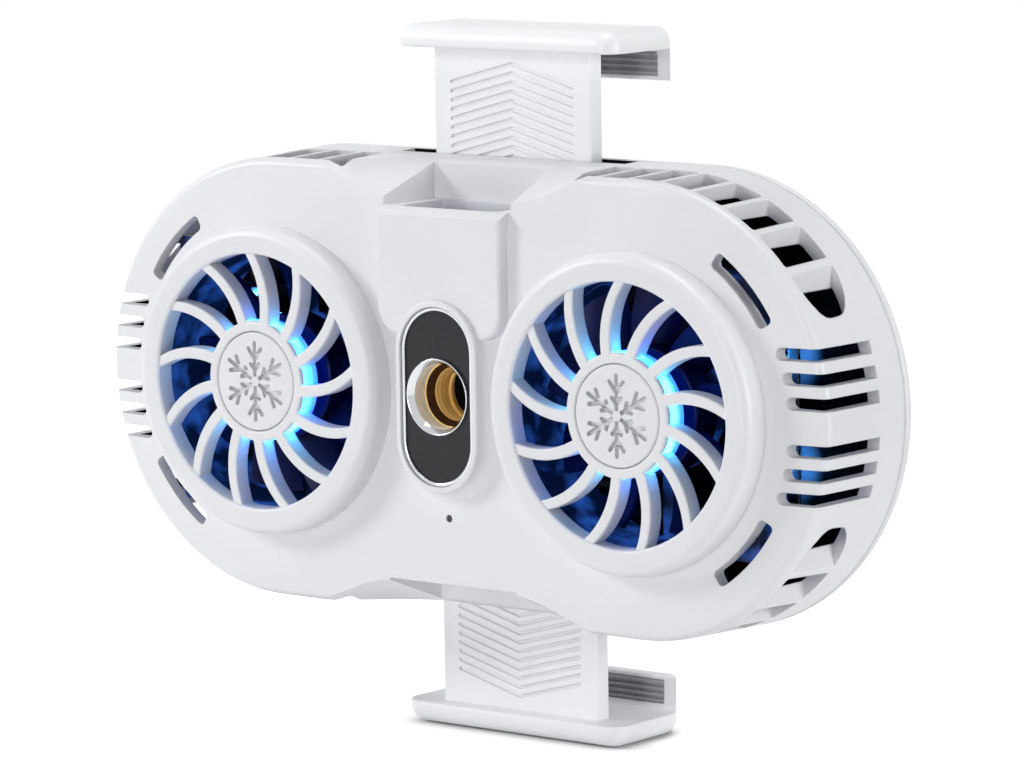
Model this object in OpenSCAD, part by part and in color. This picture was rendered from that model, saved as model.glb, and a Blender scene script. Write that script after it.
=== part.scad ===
// Clip-on phone cooler with two fans.
// A stadium-shaped housing holds one fan in each round end. Behind each fan lies a finned heat sink
// on a thermoelectric tile, and both tiles cool one plate that the phone's back lies against.
// Two clamp arms slide out of the housing, up and down, geared together by a rack and pinion.
// Frame: X along the housing, Y from the front to the back, Z up along the clamp.
// The origin is the middle of the cold plate's outer face. All sizes are in millimetres.

/* [Housing] */
// Distance between the two fan axes
fan_pitch = 67.2; // [64:0.1:90]
// Radius of the housing's round ends where the front face bends into the side wall
end_r = 32.8; // [31.5:0.1:40]
// Radius that the drafted side wall gains from the bend to the back
wall_draft = 0.7; // [0.2:0.1:1.5]
// Depth of the housing from its back face to its front face
housing_d = 21.2; // [21:0.1:26]
// How far the front face falls back between the fan seats and the bend
front_fall = 1.1; // [0.4:0.1:1.6]
// Thickness of the front wall at the fan openings
front_t = 2.6; // [2:0.1:3]
// Least thickness of the side wall
wall_t = 1.6; // [1.5:0.1:2.4]
// Thickness of the rear cover
back_t = 2.2; // [2:0.1:3]
// Height of the rear cover's rim, which closes the side wall
rim_h = 2.3; // [2.2:0.1:3]
// Rounding of the housing's back edge
back_edge_r = 1.2; // [0.5:0.1:1.8]
// How far the cold plate stands out of the housing's back
plate_proud = 0.3; // [0.1:0.1:0.8]

/* [Vents] */
// Height of one side slot
slot_h = 1.8; // [1.2:0.1:2.4]
// Distance between side slots
slot_pitch = 3.4; // [3:0.1:4]
// Distance from the fan axis to the inner ends of the side slots
slot_r = 27.4; // [26:0.1:28]
// Distance from the fan axis to the arc slots
arc_slot_r = 26.7; // [26:0.1:27.5]
// Width of the arc slots on the front
arc_slot_w = 2.4; // [1.5:0.1:3]
// Angle where each arc slot starts
arc_slot_from = 31; // [28:1:36]
// Angle where each arc slot ends
arc_slot_to = 58; // [50:1:64]
// Length of the ribbed windows from front to back
window_l = 9.9; // [6:0.1:10.4]
// Distance from the bend of the front face to the windows
window_inset = 1.7; // [1.2:0.1:2.4]
// Distance between the ribs of the windows
rib_pitch = 5.45; // [4.5:0.05:7]
// Thickness of one rib
rib_t = 0.9; // [0.7:0.1:1.4]

/* [Port recesses] */
// Depth of the saddles in the top and bottom edges at the front face
saddle_depth = 4.8; // [4:0.1:6]
// Width of a saddle at its floor
saddle_floor_w = 27; // [25:0.1:29]
// Width of a saddle where it meets the edge
saddle_mouth_w = 56; // [50:0.5:60]
// Angle at which a saddle's floor climbs towards the back
saddle_rise = 22; // [18:1:26]
// Length of the pockets round the sockets, from the front face back
pocket_l = 11.1; // [10.8:0.1:11.6]
// Width of the pockets
pocket_w = 21.6; // [20.5:0.1:24]
// Width of the well over the output socket
well_w = 18; // [16:0.1:20]
// Depth of that well
well_d = 4; // [3:0.1:5]
// How far the panel over the output socket stands proud
panel_proud = 1.9; // [1.4:0.1:2.4]
// Width of the panel
panel_w = 22.8; // [21:0.1:23.4]

/* [Fan] */
// Width of the ring round the opening
ring_w = 4; // [3.6:0.1:4.4]
// How far the ring stands proud of the front face
ring_h = 4.2; // [3.6:0.1:5]
// Number of curved spokes in the grille
spoke_count = 13; // [9:1:15]
// Width of a spoke
spoke_w = 2; // [1.4:0.1:2.4]
// Depth of a spoke from front to back
spoke_d = 2.6; // [2:0.1:2.8]
// Angle that a spoke turns through from the ring to the hub
spoke_sweep = 15; // [5:1:25]
// Diameter of the grille's hub
hub_d = 18; // [17.4:0.1:20]
// Diameter of the badge in the hub
badge_d = 14.7; // [12:0.1:15]
// Side of the square fan frame
fan_size = 40; // [36:0.1:41]
// Least thickness of the fan frame's wall, round its bore
fan_wall = 1; // [0.8:0.1:1.5]
// Depth of the fan frame
fan_t = 7; // [6.8:0.1:7.2]
// Number of fan blades
blade_count = 9; // [5:1:11]
// Angle of the blades to the fan's plane
blade_angle = 40; // [30:1:50]
// Gap between the blade tips and the frame
tip_gap = 0.9; // [0.5:0.1:1.5]
// Diameter of the rotor's hub
rotor_d = 18.8; // [18.6:0.1:20]
// Diameter of the rotor's shaft
shaft_d = 2; // [1.5:0.1:2.4]
// Radial running clearance of the shaft and of the pinion
run_gap = 0.03; // [0.02:0.01:0.08]

/* [Cooling stack] */
// Side of the thermoelectric tile
tile_w = 30; // [20:0.5:31]
// Thickness of the thermoelectric tile
tile_t = 3.2; // [3:0.1:3.6]
// Thickness of the cold plate
plate_t = 1.5; // [1.2:0.1:1.7]
// Length of the cold plate
plate_l = 100; // [98:1:104]
// Height of the cold plate
plate_h = 41; // [34:0.5:42]
// Thickness of the heat sink's base
sink_base_t = 2; // [1.5:0.1:2.4]
// Number of fins on each heat sink
fin_count = 12; // [6:1:14]
// Thickness of one fin
fin_t = 0.9; // [0.6:0.1:1.2]

/* [Clamp] */
// Width of the clamp arms
arm_w = 29; // [26:0.1:29]
// Thickness of the clamp arms
arm_t = 2.8; // [2.4:0.1:2.9]
// Distance between the two jaws as stored
jaw_opening = 98.2; // [97.4:0.1:110]
// Width of a jaw
jaw_w = 40.4; // [36:0.1:44]
// Thickness of a jaw
jaw_t = 3.3; // [2.6:0.1:4]
// Greatest thickness of phone that fits between the pads and the cold plate
phone_t = 7.6; // [6:0.1:14]
// Height of the lip that hooks over the phone's face
lip_h = 4.9; // [4.5:0.1:7]
// Thickness of the lip
lip_t = 2.2; // [1.8:0.1:3]
// Rounding of a jaw's outer corner
jaw_round = 5; // [3:0.1:5.5]
// Travel of each arm from the stored place to closed
travel_in = 14; // [8:0.5:14]
// Travel of each arm from the stored place to its outer stop
travel_out = 1.5; // [0.5:0.1:2]
// Sliding clearance round the arms
slide_gap = 0.2; // [0.1:0.05:0.3]
// Number of teeth on the pinion
pinion_teeth = 12; // [12:2:14]
// Module of the pinion's teeth
tooth_module = 0.7; // [0.6:0.05:0.75]
// Number of chevron grooves on each arm
chevron_count = 11; // [4:1:12]
// Distance between chevron grooves
chevron_pitch = 1.35; // [1.1:0.05:1.6]

/* [Stand socket] */
// Length of the capsule-shaped boss
capsule_l = 28.1; // [26:0.1:31]
// Width of the boss at its front
capsule_w = 15; // [14.6:0.1:16]
// How far the boss stands proud of the front face
capsule_h = 2.7; // [2:0.1:3.5]
// Outer diameter of the bright ring
ring_socket_d = 11.2; // [11:0.1:11.6]
// Diameter of the bright ring's opening, which clears the stand's screw
ring_bore_d = 9.6; // [9.4:0.1:9.8]
// Outer diameter of the threaded insert
insert_d = 11; // [10.2:0.1:11]
// Length of the threaded insert
insert_l = 6; // [5:0.1:6.4]
// Diameter of the insert's bore, the inner diameter of a 3/8 inch thread
thread_d = 7.94; // [7.6:0.02:8.4]

/* [Hidden] */
$fn = 72;
eps = 0.01;

// Planes from front to back
back_y = -plate_proud;
front_y = back_y - housing_d;
bend_y = front_y + front_fall;
cavity_y = front_y + front_t;
rim_y = back_y - rim_h;
floor_y = back_y - back_t;
ring_y = front_y - ring_h;
fan_y = cavity_y;
fan_back_y = fan_y + fan_t;
fx = fan_pitch / 2;
opening_d = fan_size - 2 * fan_wall;

// Radii of the housing
inner_r = end_r - wall_t;
seat_r = opening_d / 2 + ring_w + 0.4;
bend_r = 1;
collar_gap = 0.2;
collar_t = 1.9;
collar_r = opening_d / 2 + collar_t;
opening_r = collar_r + collar_gap;

// Case screws and their bosses
screw_r = 1;
screw_head_r = 1.9;
screw_head_h = 1;
hole_gap = 0.15;
boss_r = 2.2;
screw_bite = 8;
case_end_x = fx + inner_r - 3.9;
case_top_in = 9.6;
case_top_x = fx - case_top_in;
case_top_z = inner_r - 4.1;
case_spots = [[case_end_x, 0], [-case_end_x, 0], [case_top_x, case_top_z], [-case_top_x, case_top_z],
    [case_top_x, -case_top_z], [-case_top_x, -case_top_z]];

// Lip of the rear cover inside the side wall
lip_gap = 0.15;
lip_wall = 1.2;
lip_rise = 1.5;

// Side slots and windows
slot_back_y = bend_y + window_inset + window_l + 0.5;
slot_z = [for (k = [-1, 1]) for (i = [0 : 2]) k * (slot_pitch * (i + 1) - 0.1)];
window_y = bend_y + window_inset;
nose_r = window_l / 2;
nose_x = fx + end_r * 0.9;
window_start = 6.5;
window_x = saddle_mouth_w / 2 - window_start;
window_z = slot_pitch * 3 - 0.1 + slot_h / 2 + 0.7;
rib_x = [for (x = [nose_x - nose_r + 0.9 : -rib_pitch : window_x + rib_t]) x];

// Saddles and port pockets
pocket_z = end_r - saddle_depth;
pocket_back_y = front_y + pocket_l;
pocket_t = 1.5;
pocket_flare = 1;
pocket_front_w = pocket_w + 2 * pocket_flare;
well_corner = 1.5;
rim_drop = 0.9;
rim_z = pocket_z - rim_drop;
well_floor_z = pocket_z - well_d;

// Electronics, on one board behind the middle of the front
board_w = 23;
board_t = 1.2;
board_y = pocket_back_y - 0.8;
board_top = well_floor_z - 2.6;
board_low = -pocket_z + 3.4;
board_screw_x = 8.6;
board_screw_rise = 3.6;
board_bite = 4.5;
board_boss_r = 1.8;
output_w = 13.2;
output_h = 5.8;
output_l = 14;
input_w = 9;
input_h = 3.2;
input_l = 7.4;
tongue_w = 11.2;
tongue_t = 1.9;
socket_wall = 0.35;
socket_gap = 0.25;
output_y = board_y - output_h / 2;
input_y = board_y - input_h / 2;
well_gap = 0.6;
well_back_y = board_y + well_gap - 0.4;
pipe_r = 0.5;
pipe_gap = 2.5;
pipe_z = -pocket_z + input_l + pipe_gap;
board_screw_z = pipe_z + board_screw_rise;

// Panel over the output socket
panel_y = front_y - panel_proud;
panel_low = 8.6;
panel_corner = 4;
panel_slope_y = panel_y + 2;
well_front_y = panel_slope_y + 0.5;
panel_top = pocket_z - 2;

// Grille
ring_in_r = opening_d / 2;
ring_out_r = ring_in_r + ring_w;
ring_flat = 2.4;
spoke_front_y = ring_y + 0.4;
spoke_back_y = spoke_front_y + spoke_d;
spoke_turn = 4;
hub_r = hub_d / 2;
badge_gap = 0.12;
badge_depth = 1.2;
collar_y = spoke_back_y + 0.1;
light_t = 1.4;
light_in_r = 6.2;

// Fan motor
bush_t = 1.2;
boss_wall = 1.2;
bush_r = shaft_d / 2 + run_gap + bush_t;
motor_boss_r = bush_r + boss_wall;
strut_t = 1;
strut_w = 2.4;
hub_disc_r = rotor_d / 2 - 0.2;
bore_r = opening_d / 2;
fan_screw_r = 1.2;
fan_screw_wall = 0.33;
fan_hole = (opening_r + fan_screw_wall + fan_screw_r) / sqrt(2);
fan_head_r = 2.2;
fan_head_h = 1.6;
fan_bite = 1.9;
frame_sink = 2.2;
motor_board_t = 0.8;
disc_y = fan_back_y - strut_t;
motor_board_y = disc_y - motor_board_t;
core_t = 2.4;
core_back_y = motor_board_y - 0.8;
core_y = core_back_y - core_t;
coil_over = 0.55;
magnet_t = 1;
rotor_wall = 1.1;
rotor_r = rotor_d / 2;
magnet_out_r = rotor_r - rotor_wall;
magnet_in_r = magnet_out_r - magnet_t;
air_gap = 0.4;
core_r = magnet_in_r - air_gap;
rotor_front_wall = 0.9;
rotor_inner_y = core_y - coil_over - 0.6;
rotor_front_y = rotor_inner_y - rotor_front_wall;
rotor_back_y = motor_board_y - 0.4;
blade_t = 1;
blade_tip_r = bore_r - tip_gap;
blade_front_y = fan_y + 0.3;
blade_back_y = disc_y - 0.5;
bush_front_y = rotor_inner_y + 1.2;
bush_back_y = fan_back_y - 0.3;

// Cooling stack
tile_y = -plate_t - tile_t;
sink_y = tile_y - sink_base_t;
fin_y = fan_back_y + 0.2;
sink_margin = 0.5;
sink_h = plate_h - 2 * sink_margin;
ear_w = 6;
ear_z = sink_h / 2 + 2.4;
plate_gap = 0.15;
plate_corner = 4;
tile_gap = 0.3;

// Leads from the fan motors and the cooling tiles to the main board
ribbon_w = 1.4;
ribbon_t = 0.5;
ribbon_gap = 0.1;
ribbon_y = fan_back_y - ribbon_gap - ribbon_t;
ribbon_in = 6.4;
ribbon_end_x = board_w / 2 - 1;
wire_r = 0.4;
elbow_r = wire_r + 0.05;
wire_y = tile_y + 1.1;
wire_gap = 0.6;
wire_z = sink_h / 2 + wire_gap + elbow_r;
wire_front_y = board_y + board_t + elbow_r;
wire_end_x = board_w / 2 - 1.5;

// Clamp
arm_back_y = floor_y - slide_gap;
arm_y = arm_back_y - arm_t;
rail_x = arm_w / 2 + slide_gap;
rail_t = 1.5;
rail_l = 2 * (inner_r - 0.8);
sink_gap = 0.8;
sink_w = 2 * (fx - rail_x - rail_t - sink_gap);
guide_t = 1;
guide_back_y = arm_y - slide_gap;
guide_y = guide_back_y - guide_t;
guide_screw_x = rail_x + rail_t + 2.2;
guide_screw_z = inner_r - 5.1;
guide_boss_r = 2;
wire_x = guide_screw_x + guide_boss_r + wire_gap + elbow_r;
slit_w = 41.6;
jaw_z = jaw_opening / 2;
jaw_front_y = arm_y - 2.7;
pad_proud = 0.4;
pad_in = 0.8;
lip_y = phone_t + pad_proud;
jaw_back_y = lip_y + lip_t;
jaw_fillet = 1.5;
jaw_front_r = 1.2;
jaw_corner = 3;
jaw_back_corner = 6;
jaw_end_r = 2.4;
pad_l = jaw_w - 7.2;
pad_h = lip_h - 1.3;
pad_ribs = 4;
chevron_w = arm_w / 2 - 3.1;
chevron_g = 0.45;
chevron_depth = 0.3;
chevron_top = jaw_z - 1.9;
chevron_slope = tan(15);

// Rack and pinion: stub teeth with a pressure angle of 25 degrees
pressure = 25;
backlash = 0.16;
pitch_r = pinion_teeth * tooth_module / 2;
tooth_pitch = PI * tooth_module;
addendum = 0.85 * tooth_module;
dedendum = 1.15 * tooth_module;
pinion_t = arm_t - 0.6;
pinion_back_y = arm_back_y - 0.1;
pinion_y = pinion_back_y - pinion_t;
axle_r = 1.5;
washer_t = 0.4;
rack_back_x = pitch_r + dedendum + 3;
rack_low = -3.5;
arm_clear = 7;
arm_low = travel_in + arm_clear;
tail_gap = 0.4;
tail_slot_top = 2 * travel_in - rack_low + 0.6;

// Stand socket
capsule_flare = 1.6;
capsule_y = front_y - capsule_h;
trim_w = 0.6;
trim_in_r = capsule_w / 2 - 1.5;
capsule_floor_y = capsule_y + 1.5;
plate_drop = 0.7;
socket_ring_y = capsule_y + 0.2;
socket_ring_l = 3.4;
insert_y = socket_ring_y + socket_ring_l;
insert_boss_wall = 1.6;
countersink = 0.7;
countersink_l = 1.3;

// A stadium about both fan axes from half of its section: a list of [radius, y] points from the middle out
module race(section) {
    both = concat(section, [for (i = [len(section) - 1 : -1 : 0]) [-section[i][0], section[i][1]]]);
    rotate([0, 90, 0]) linear_extrude(height = fan_pitch, center = true) polygon(both);
    for (side = [0, 180])
        rotate([0, side, 0]) translate([fx, 0, 0])
            rotate([-90, 0, 0]) rotate([0, 0, -90]) rotate_extrude(angle = 180) polygon(section);
}

// A cylinder along Y from y0 to y1
module rod(r, y0, y1, r2 = -1) {
    translate([0, y0, 0]) rotate([-90, 0, 0]) cylinder(h = y1 - y0, r1 = r, r2 = r2 < 0 ? r : r2);
}

module tube(r_out, r_in, y0, y1) {
    difference() {
        rod(r_out, y0, y1);
        rod(r_in, y0 - 1, y1 + 1);
    }
}

// A box between two corners
module block(low, high) {
    translate(low) cube(high - low);
}

// A drawing in X and Z, made solid from y0 to y1
module slab(y0, y1) {
    translate([0, y1, 0]) rotate([90, 0, 0]) linear_extrude(height = y1 - y0) children();
}

// A drawing in Y and Z, made solid across the width w
module across(w) {
    rotate([90, 0, 90]) linear_extrude(height = w, center = true) children();
}

// A drawn capsule along the second axis
module capsule_2d(l, w) {
    square([w, l - w], center = true);
    for (k = [-1, 1]) translate([0, k * (l - w) / 2]) circle(d = w);
}

module round_rect(w, h, r) {
    square([w - 2 * r, h], center = true);
    square([w, h - 2 * r], center = true);
    for (i = [-1, 1]) for (k = [-1, 1]) translate([i * (w / 2 - r), k * (h / 2 - r)]) circle(r);
}

// Everything that belongs to one fan is drawn on the right and mirrored for the left
module on_fan(side) {
    translate([side * fx, 0, 0]) mirror([side < 0 ? 1 : 0, 0, 0]) children();
}

function wall_r(y) = end_r + wall_draft * (y - bend_y - bend_r) / (back_y - bend_y - bend_r);

// The screw with a flat head: shank r over length l from its head's underside at y, pointing to the front
module screw(r, l, head_r, head_h) {
    union() {
        rod(r, -l, eps);
        rod(head_r, 0, head_h);
    }
}

// A saddle at the top edge: its floor, lowered by drop, climbs from the front face to the back, and its sides
// swing up in a smooth curve and run on straight
module saddle(drop = 0) {
    steps = 8;
    blend = 7;
    slope = saddle_depth / (saddle_mouth_w / 2 - saddle_floor_w / 2);
    over = 9;
    reach = 1.6 * housing_d;
    half = saddle_floor_w / 2;
    side = concat([for (i = [0 : steps]) let (u = blend * i / steps) [half - blend / 2 + u, slope * u * u / blend / 2]],
        [[half + over / slope, over]]);
    translate([0, front_y, pocket_z]) rotate([saddle_rise, 0, 0]) translate([0, 0, -drop]) slab(-reach, reach)
        polygon(concat(side, [for (i = [len(side) - 1 : -1 : 0]) [-side[i][0], side[i][1]]]));
}

module windows() {
    for (i = [0, 1]) for (k = [0, 1]) mirror([i, 0, 0]) mirror([0, 0, k])
        translate([0, 0, window_z]) linear_extrude(height = end_r) difference() {
            union() {
                translate([window_x, window_y]) square([nose_x - nose_r - window_x, window_l]);
                translate([nose_x - nose_r, window_y + nose_r]) circle(nose_r);
            }
            for (x = rib_x) translate([x - rib_t, window_y - 1]) square([rib_t, window_l + 2]);
        }
}

module side_slots() {
    reach = end_r + wall_draft + 5;
    for (side = [0, 1]) mirror([side, 0, 0]) translate([fx, 0, 0]) for (z = slot_z) {
        start = sqrt(slot_r * slot_r - z * z);
        block([start, front_y - 5, z - slot_h / 2], [reach, slot_back_y, z + slot_h / 2]);
        translate([start, 0, z]) rod(slot_h / 2, front_y - 5, cavity_y + 1);
    }
}

module arc_slots() {
    far = 2 * arc_slot_r;
    for (i = [0, 1]) for (k = [0, 1]) mirror([i, 0, 0]) mirror([0, 0, k])
        translate([fx, 0, 0]) slab(front_y - 1, cavity_y + 1) {
            intersection() {
                difference() {
                    circle(arc_slot_r + arc_slot_w / 2);
                    circle(arc_slot_r - arc_slot_w / 2);
                }
                polygon([[0, 0], far * [cos(arc_slot_from), sin(arc_slot_from)],
                    far * [cos(arc_slot_to), sin(arc_slot_to)]]);
            }
            for (a = [arc_slot_from, arc_slot_to]) translate(arc_slot_r * [cos(a), sin(a)]) circle(d = arc_slot_w);
        }
}

// Capsule-shaped boss whose sides flare towards the front face
module capsule_boss() {
    r1 = capsule_w / 2 + capsule_flare;
    r2 = capsule_w / 2;
    ends = (capsule_l - capsule_w) / 2;
    base_y = front_y + 0.5;
    for (k = [-1, 1]) translate([0, 0, k * ends]) rod(r2, capsule_y, base_y, r1);
    linear_extrude(height = 2 * ends, center = true)
        polygon([[-r2, capsule_y], [r2, capsule_y], [r1, base_y], [-r1, base_y]]);
}

// Raised panel over the output socket, with round lower corners
module panel() {
    slab(panel_y, front_y + 0.5) {
        translate([-panel_w / 2, panel_low + panel_corner])
            square([panel_w, pocket_z - panel_low - panel_corner]);
        translate([-panel_w / 2 + panel_corner, panel_low])
            square([panel_w - 2 * panel_corner, 2 * panel_corner]);
        for (k = [-1, 1]) translate([k * (panel_w / 2 - panel_corner), panel_low + panel_corner])
            circle(panel_corner);
    }
}

// Room of a port pocket, wider at the front face than at its back wall
module pocket(low, high) {
    back = pocket_w / 2;
    front = pocket_front_w / 2;
    translate([0, 0, low]) linear_extrude(height = high - low)
        polygon([[-back, pocket_back_y], [back, pocket_back_y], [front, front_y], [front, front_y - 5],
            [-front, front_y - 5], [-front, front_y]]);
}

// What stays solid inside the shell's hollow
module shell_inner_walls() {
    for (k = [0, 1]) mirror([0, 0, k]) {
        saddle(pocket_t);
        block([-pocket_front_w / 2 - pocket_t, front_y, pocket_z - pocket_t],
            [pocket_front_w / 2 + pocket_t, pocket_back_y + pocket_t, end_r]);
    }
    block([-well_w / 2 - pocket_t, front_y, well_floor_z - pocket_t],
        [well_w / 2 + pocket_t, well_back_y + pocket_t, pocket_z]);
    rod(insert_d / 2 + insert_boss_wall, front_y, insert_y + insert_l + 1);
    for (s = case_spots) translate([s[0], 0, s[1]]) rod(boss_r, front_y, floor_y);
    for (k = [-1, 1]) translate([k * board_screw_x, 0, board_screw_z]) rod(board_boss_r, front_y, board_y);
}

module front_shell() {
    bend = [for (i = [1 : 5]) let (a = 90 - 15 * i) [end_r - bend_r * (1 - cos(a)), bend_y + bend_r * (1 - sin(a))]];
    shell_section = concat([[0, front_y], [seat_r, front_y]], bend, [[end_r, bend_y + bend_r],
        [wall_r(rim_y), rim_y], [0, rim_y]]);
    hollow_section = [[0, cavity_y], [inner_r, cavity_y], [inner_r, rim_y + 1], [0, rim_y + 1]];
    color("white") difference() {
        union() {
            race(shell_section);
            panel();
            capsule_boss();
        }
        difference() {
            race(hollow_section);
            shell_inner_walls();
        }
        for (k = [0, 1]) mirror([0, 0, k]) {
            saddle();
            pocket(pocket_z, 2 * end_r);
        }
        // lower floor of the upper pocket, and the top of the panel level with it
        pocket(rim_z, pocket_z + 1);
        block([-panel_w / 2 - 0.5, panel_y - 1, rim_z], [panel_w / 2 + 0.5, front_y, pocket_z + 1]);
        // slope from the well down to the front of the panel
        across(panel_w + 1) polygon([[panel_slope_y, rim_z + eps], [panel_y - 1, rim_z + eps],
            [panel_y - 1, panel_top], [panel_y, panel_top]]);
        // well and mouth of the output socket, and mouth of the input socket
        translate([0, (well_front_y + well_back_y) / 2, well_floor_z]) linear_extrude(height = well_d + 1)
            round_rect(well_w, well_back_y - well_front_y, well_corner);
        block([-output_w / 2 - socket_gap, output_y - output_h / 2 - socket_gap, well_floor_z - 3],
            [output_w / 2 + socket_gap, output_y + output_h / 2 + socket_gap, well_floor_z + 1]);
        translate([0, input_y, -pocket_z - 1]) linear_extrude(height = pocket_t + 3)
            rotate(90) capsule_2d(input_w + 2 * socket_gap, input_h + 2 * socket_gap);
        for (side = [-1, 1]) on_fan(side) rod(opening_r, front_y - 1, cavity_y + 1);
        side_slots();
        arc_slots();
        windows();
        // slits for the arms, open at the rim
        for (k = [0, 1]) mirror([0, 0, k]) block([-slit_w / 2, guide_back_y, pocket_z - 4], [slit_w / 2, 0, end_r + 5]);
        // seats of the socket trim, ring and insert
        slab(capsule_y - 1, capsule_floor_y) capsule_2d(capsule_l - capsule_w + 2 * (trim_in_r + trim_w), 2 * (trim_in_r + trim_w));
        rod(ring_socket_d / 2, capsule_y - 1, socket_ring_y + socket_ring_l);
        rod(insert_d / 2, capsule_y - 1, insert_y + insert_l);
        translate([0, 0, pipe_z]) rod(pipe_r + 0.05, front_y - 1, cavity_y + 1);
        // screw holes
        for (s = case_spots) translate([s[0], 0, s[1]]) rod(screw_r, floor_y - screw_bite, floor_y + 1);
        for (side = [-1, 1]) on_fan(side) for (i = [-1, 1]) for (k = [-1, 1])
            translate([i * fan_hole, 0, k * fan_hole]) rod(fan_screw_r, fan_y - fan_bite, fan_y + 1);
        for (k = [-1, 1]) translate([k * board_screw_x, 0, board_screw_z])
            rod(screw_r, board_y - board_bite - 0.5, board_y + 1);
    }
}

module rear_cover() {
    arc = [for (i = [0 : 6]) let (a = i * 15)
        [wall_r(back_y) - back_edge_r * (1 - cos(a)), back_y - back_edge_r * (1 - sin(a))]];
    cover_section = concat([[0, rim_y], [wall_r(rim_y), rim_y]], arc, [[0, back_y]]);
    lip_out = inner_r - lip_gap;
    lip_in = lip_out - lip_wall;
    lip_top = rim_y - lip_rise;
    lip_solid = [[0, lip_top], [lip_out, lip_top], [lip_out, floor_y + 0.5], [0, floor_y + 0.5]];
    hollow = [[0, lip_top - 1], [lip_in, lip_top - 1], [lip_in, floor_y], [0, floor_y]];
    color("whitesmoke") difference() {
        union() {
            // wall with a lip that centres the cover in the shell, left out where the arms pass
            difference() {
                union() {
                    race(cover_section);
                    race(lip_solid);
                }
                race(hollow);
                block([-slit_w / 2 - 1, lip_top - 1, -end_r - 5], [slit_w / 2 + 1, floor_y, end_r + 5]);
            }
            // rails beside the arms, and bosses for the guide plate and the heat sinks
            for (k = [-1, 1]) {
                block([k * (rail_x + rail_t / 2) - rail_t / 2, guide_back_y, -rail_l / 2],
                    [k * (rail_x + rail_t / 2) + rail_t / 2, floor_y + 0.5, rail_l / 2]);
                for (j = [-1, 1]) {
                    translate([k * guide_screw_x, 0, j * guide_screw_z]) rod(guide_boss_r, guide_back_y, floor_y + 0.5);
                    translate([k * fx, 0, j * ear_z]) rod(ear_w / 2 - 0.4, tile_y, floor_y + 0.5);
                }
            }
        }
        slab(-plate_t, 1) round_rect(plate_l + 2 * plate_gap, plate_h + 2 * plate_gap, plate_corner);
        for (k = [-1, 1]) translate([k * fx, 0, 0])
            slab(floor_y - 1, 1) square(tile_w + 2 * tile_gap, center = true);
        for (s = case_spots) translate([s[0], 0, s[1]]) {
            rod(screw_r + hole_gap, floor_y - 3, 1);
            rod(screw_head_r + hole_gap, back_y - screw_head_h - 0.1, 1);
        }
        for (k = [-1, 1]) for (j = [-1, 1]) {
            translate([k * guide_screw_x, 0, j * guide_screw_z]) rod(screw_r, guide_back_y - 1, floor_y + 0.6);
            translate([k * fx, 0, j * ear_z]) rod(screw_r, tile_y - 1, floor_y + 0.6);
        }
    }
}

// One spoke between the hub and the ring, turning through the sweep
module spoke_2d() {
    steps = 8;
    r0 = hub_r - 0.5;
    r1 = ring_in_r + 0.5;
    mid = [for (i = [0 : steps]) let (t = i / steps, r = r0 + (r1 - r0) * t, a = spoke_sweep * (1 - pow(t, 1.5)))
        [r, a]];
    edge = function (k) [for (p = mid) let (a = p[1] + k * spoke_w / 2 / p[0] * 180 / PI) p[0] * [cos(a), sin(a)]];
    right = edge(-1);
    left = edge(1);
    polygon(concat(right, [for (i = [steps : -1 : 0]) left[i]]));
}

module fan_grille() {
    ring_arc = [for (i = [0 : 5]) let (a = 90 - i * 18)
        [ring_in_r + ring_flat + (ring_w - ring_flat) * cos(a), ring_y + (ring_w - ring_flat) * (1 - sin(a))]];
    ring_section = concat([[ring_in_r, ring_y + 0.5], [ring_in_r + 0.5, ring_y]], ring_arc,
        [[ring_out_r, front_y], [collar_r + collar_gap / 2, front_y], [collar_r + collar_gap / 2, collar_y],
        [ring_in_r, collar_y]]);
    rotate([-90, 0, 0]) rotate_extrude() polygon(ring_section);
    difference() {
        union() {
            rod(hub_r, spoke_front_y, spoke_back_y);
            slab(spoke_front_y, spoke_back_y) for (i = [0 : spoke_count - 1])
                rotate(i * 360 / spoke_count + spoke_turn) spoke_2d();
        }
        rod(badge_d / 2 + badge_gap, spoke_front_y - 1, spoke_front_y + badge_depth);
    }
}

module fan_grille_left() { color("white") on_fan(-1) fan_grille(); }
module fan_grille_right() { color("white") on_fan(1) fan_grille(); }

// Six-armed frost figure: each arm a stem with two pairs of twigs
module frost_2d() {
    line = 0.55;
    reach = badge_d / 2 - 1.6;
    for (i = [0 : 5]) rotate(i * 60) {
        translate([-line / 2, 1]) square([line, reach - 1]);
        for (s = [[2.1, 1.5], [3.7, 1.8]]) for (k = [-1, 1])
            translate([0, s[0]]) rotate(k * 50) translate([-line / 2, 0]) square([line, s[1]]);
    }
}

module hub_badge() {
    difference() {
        rod(badge_d / 2, spoke_front_y + 0.05, spoke_front_y + badge_depth);
        slab(spoke_front_y - 1, spoke_front_y + 0.5) frost_2d();
    }
}

module hub_badge_left() { color("white") on_fan(-1) hub_badge(); }
module hub_badge_right() { color("white") on_fan(1) hub_badge(); }

module light_ring_left() { color("deepskyblue") on_fan(-1) tube(hub_r, light_in_r, spoke_back_y, spoke_back_y + light_t); }
module light_ring_right() { color("deepskyblue") on_fan(1) tube(hub_r, light_in_r, spoke_back_y, spoke_back_y + light_t); }

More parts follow.
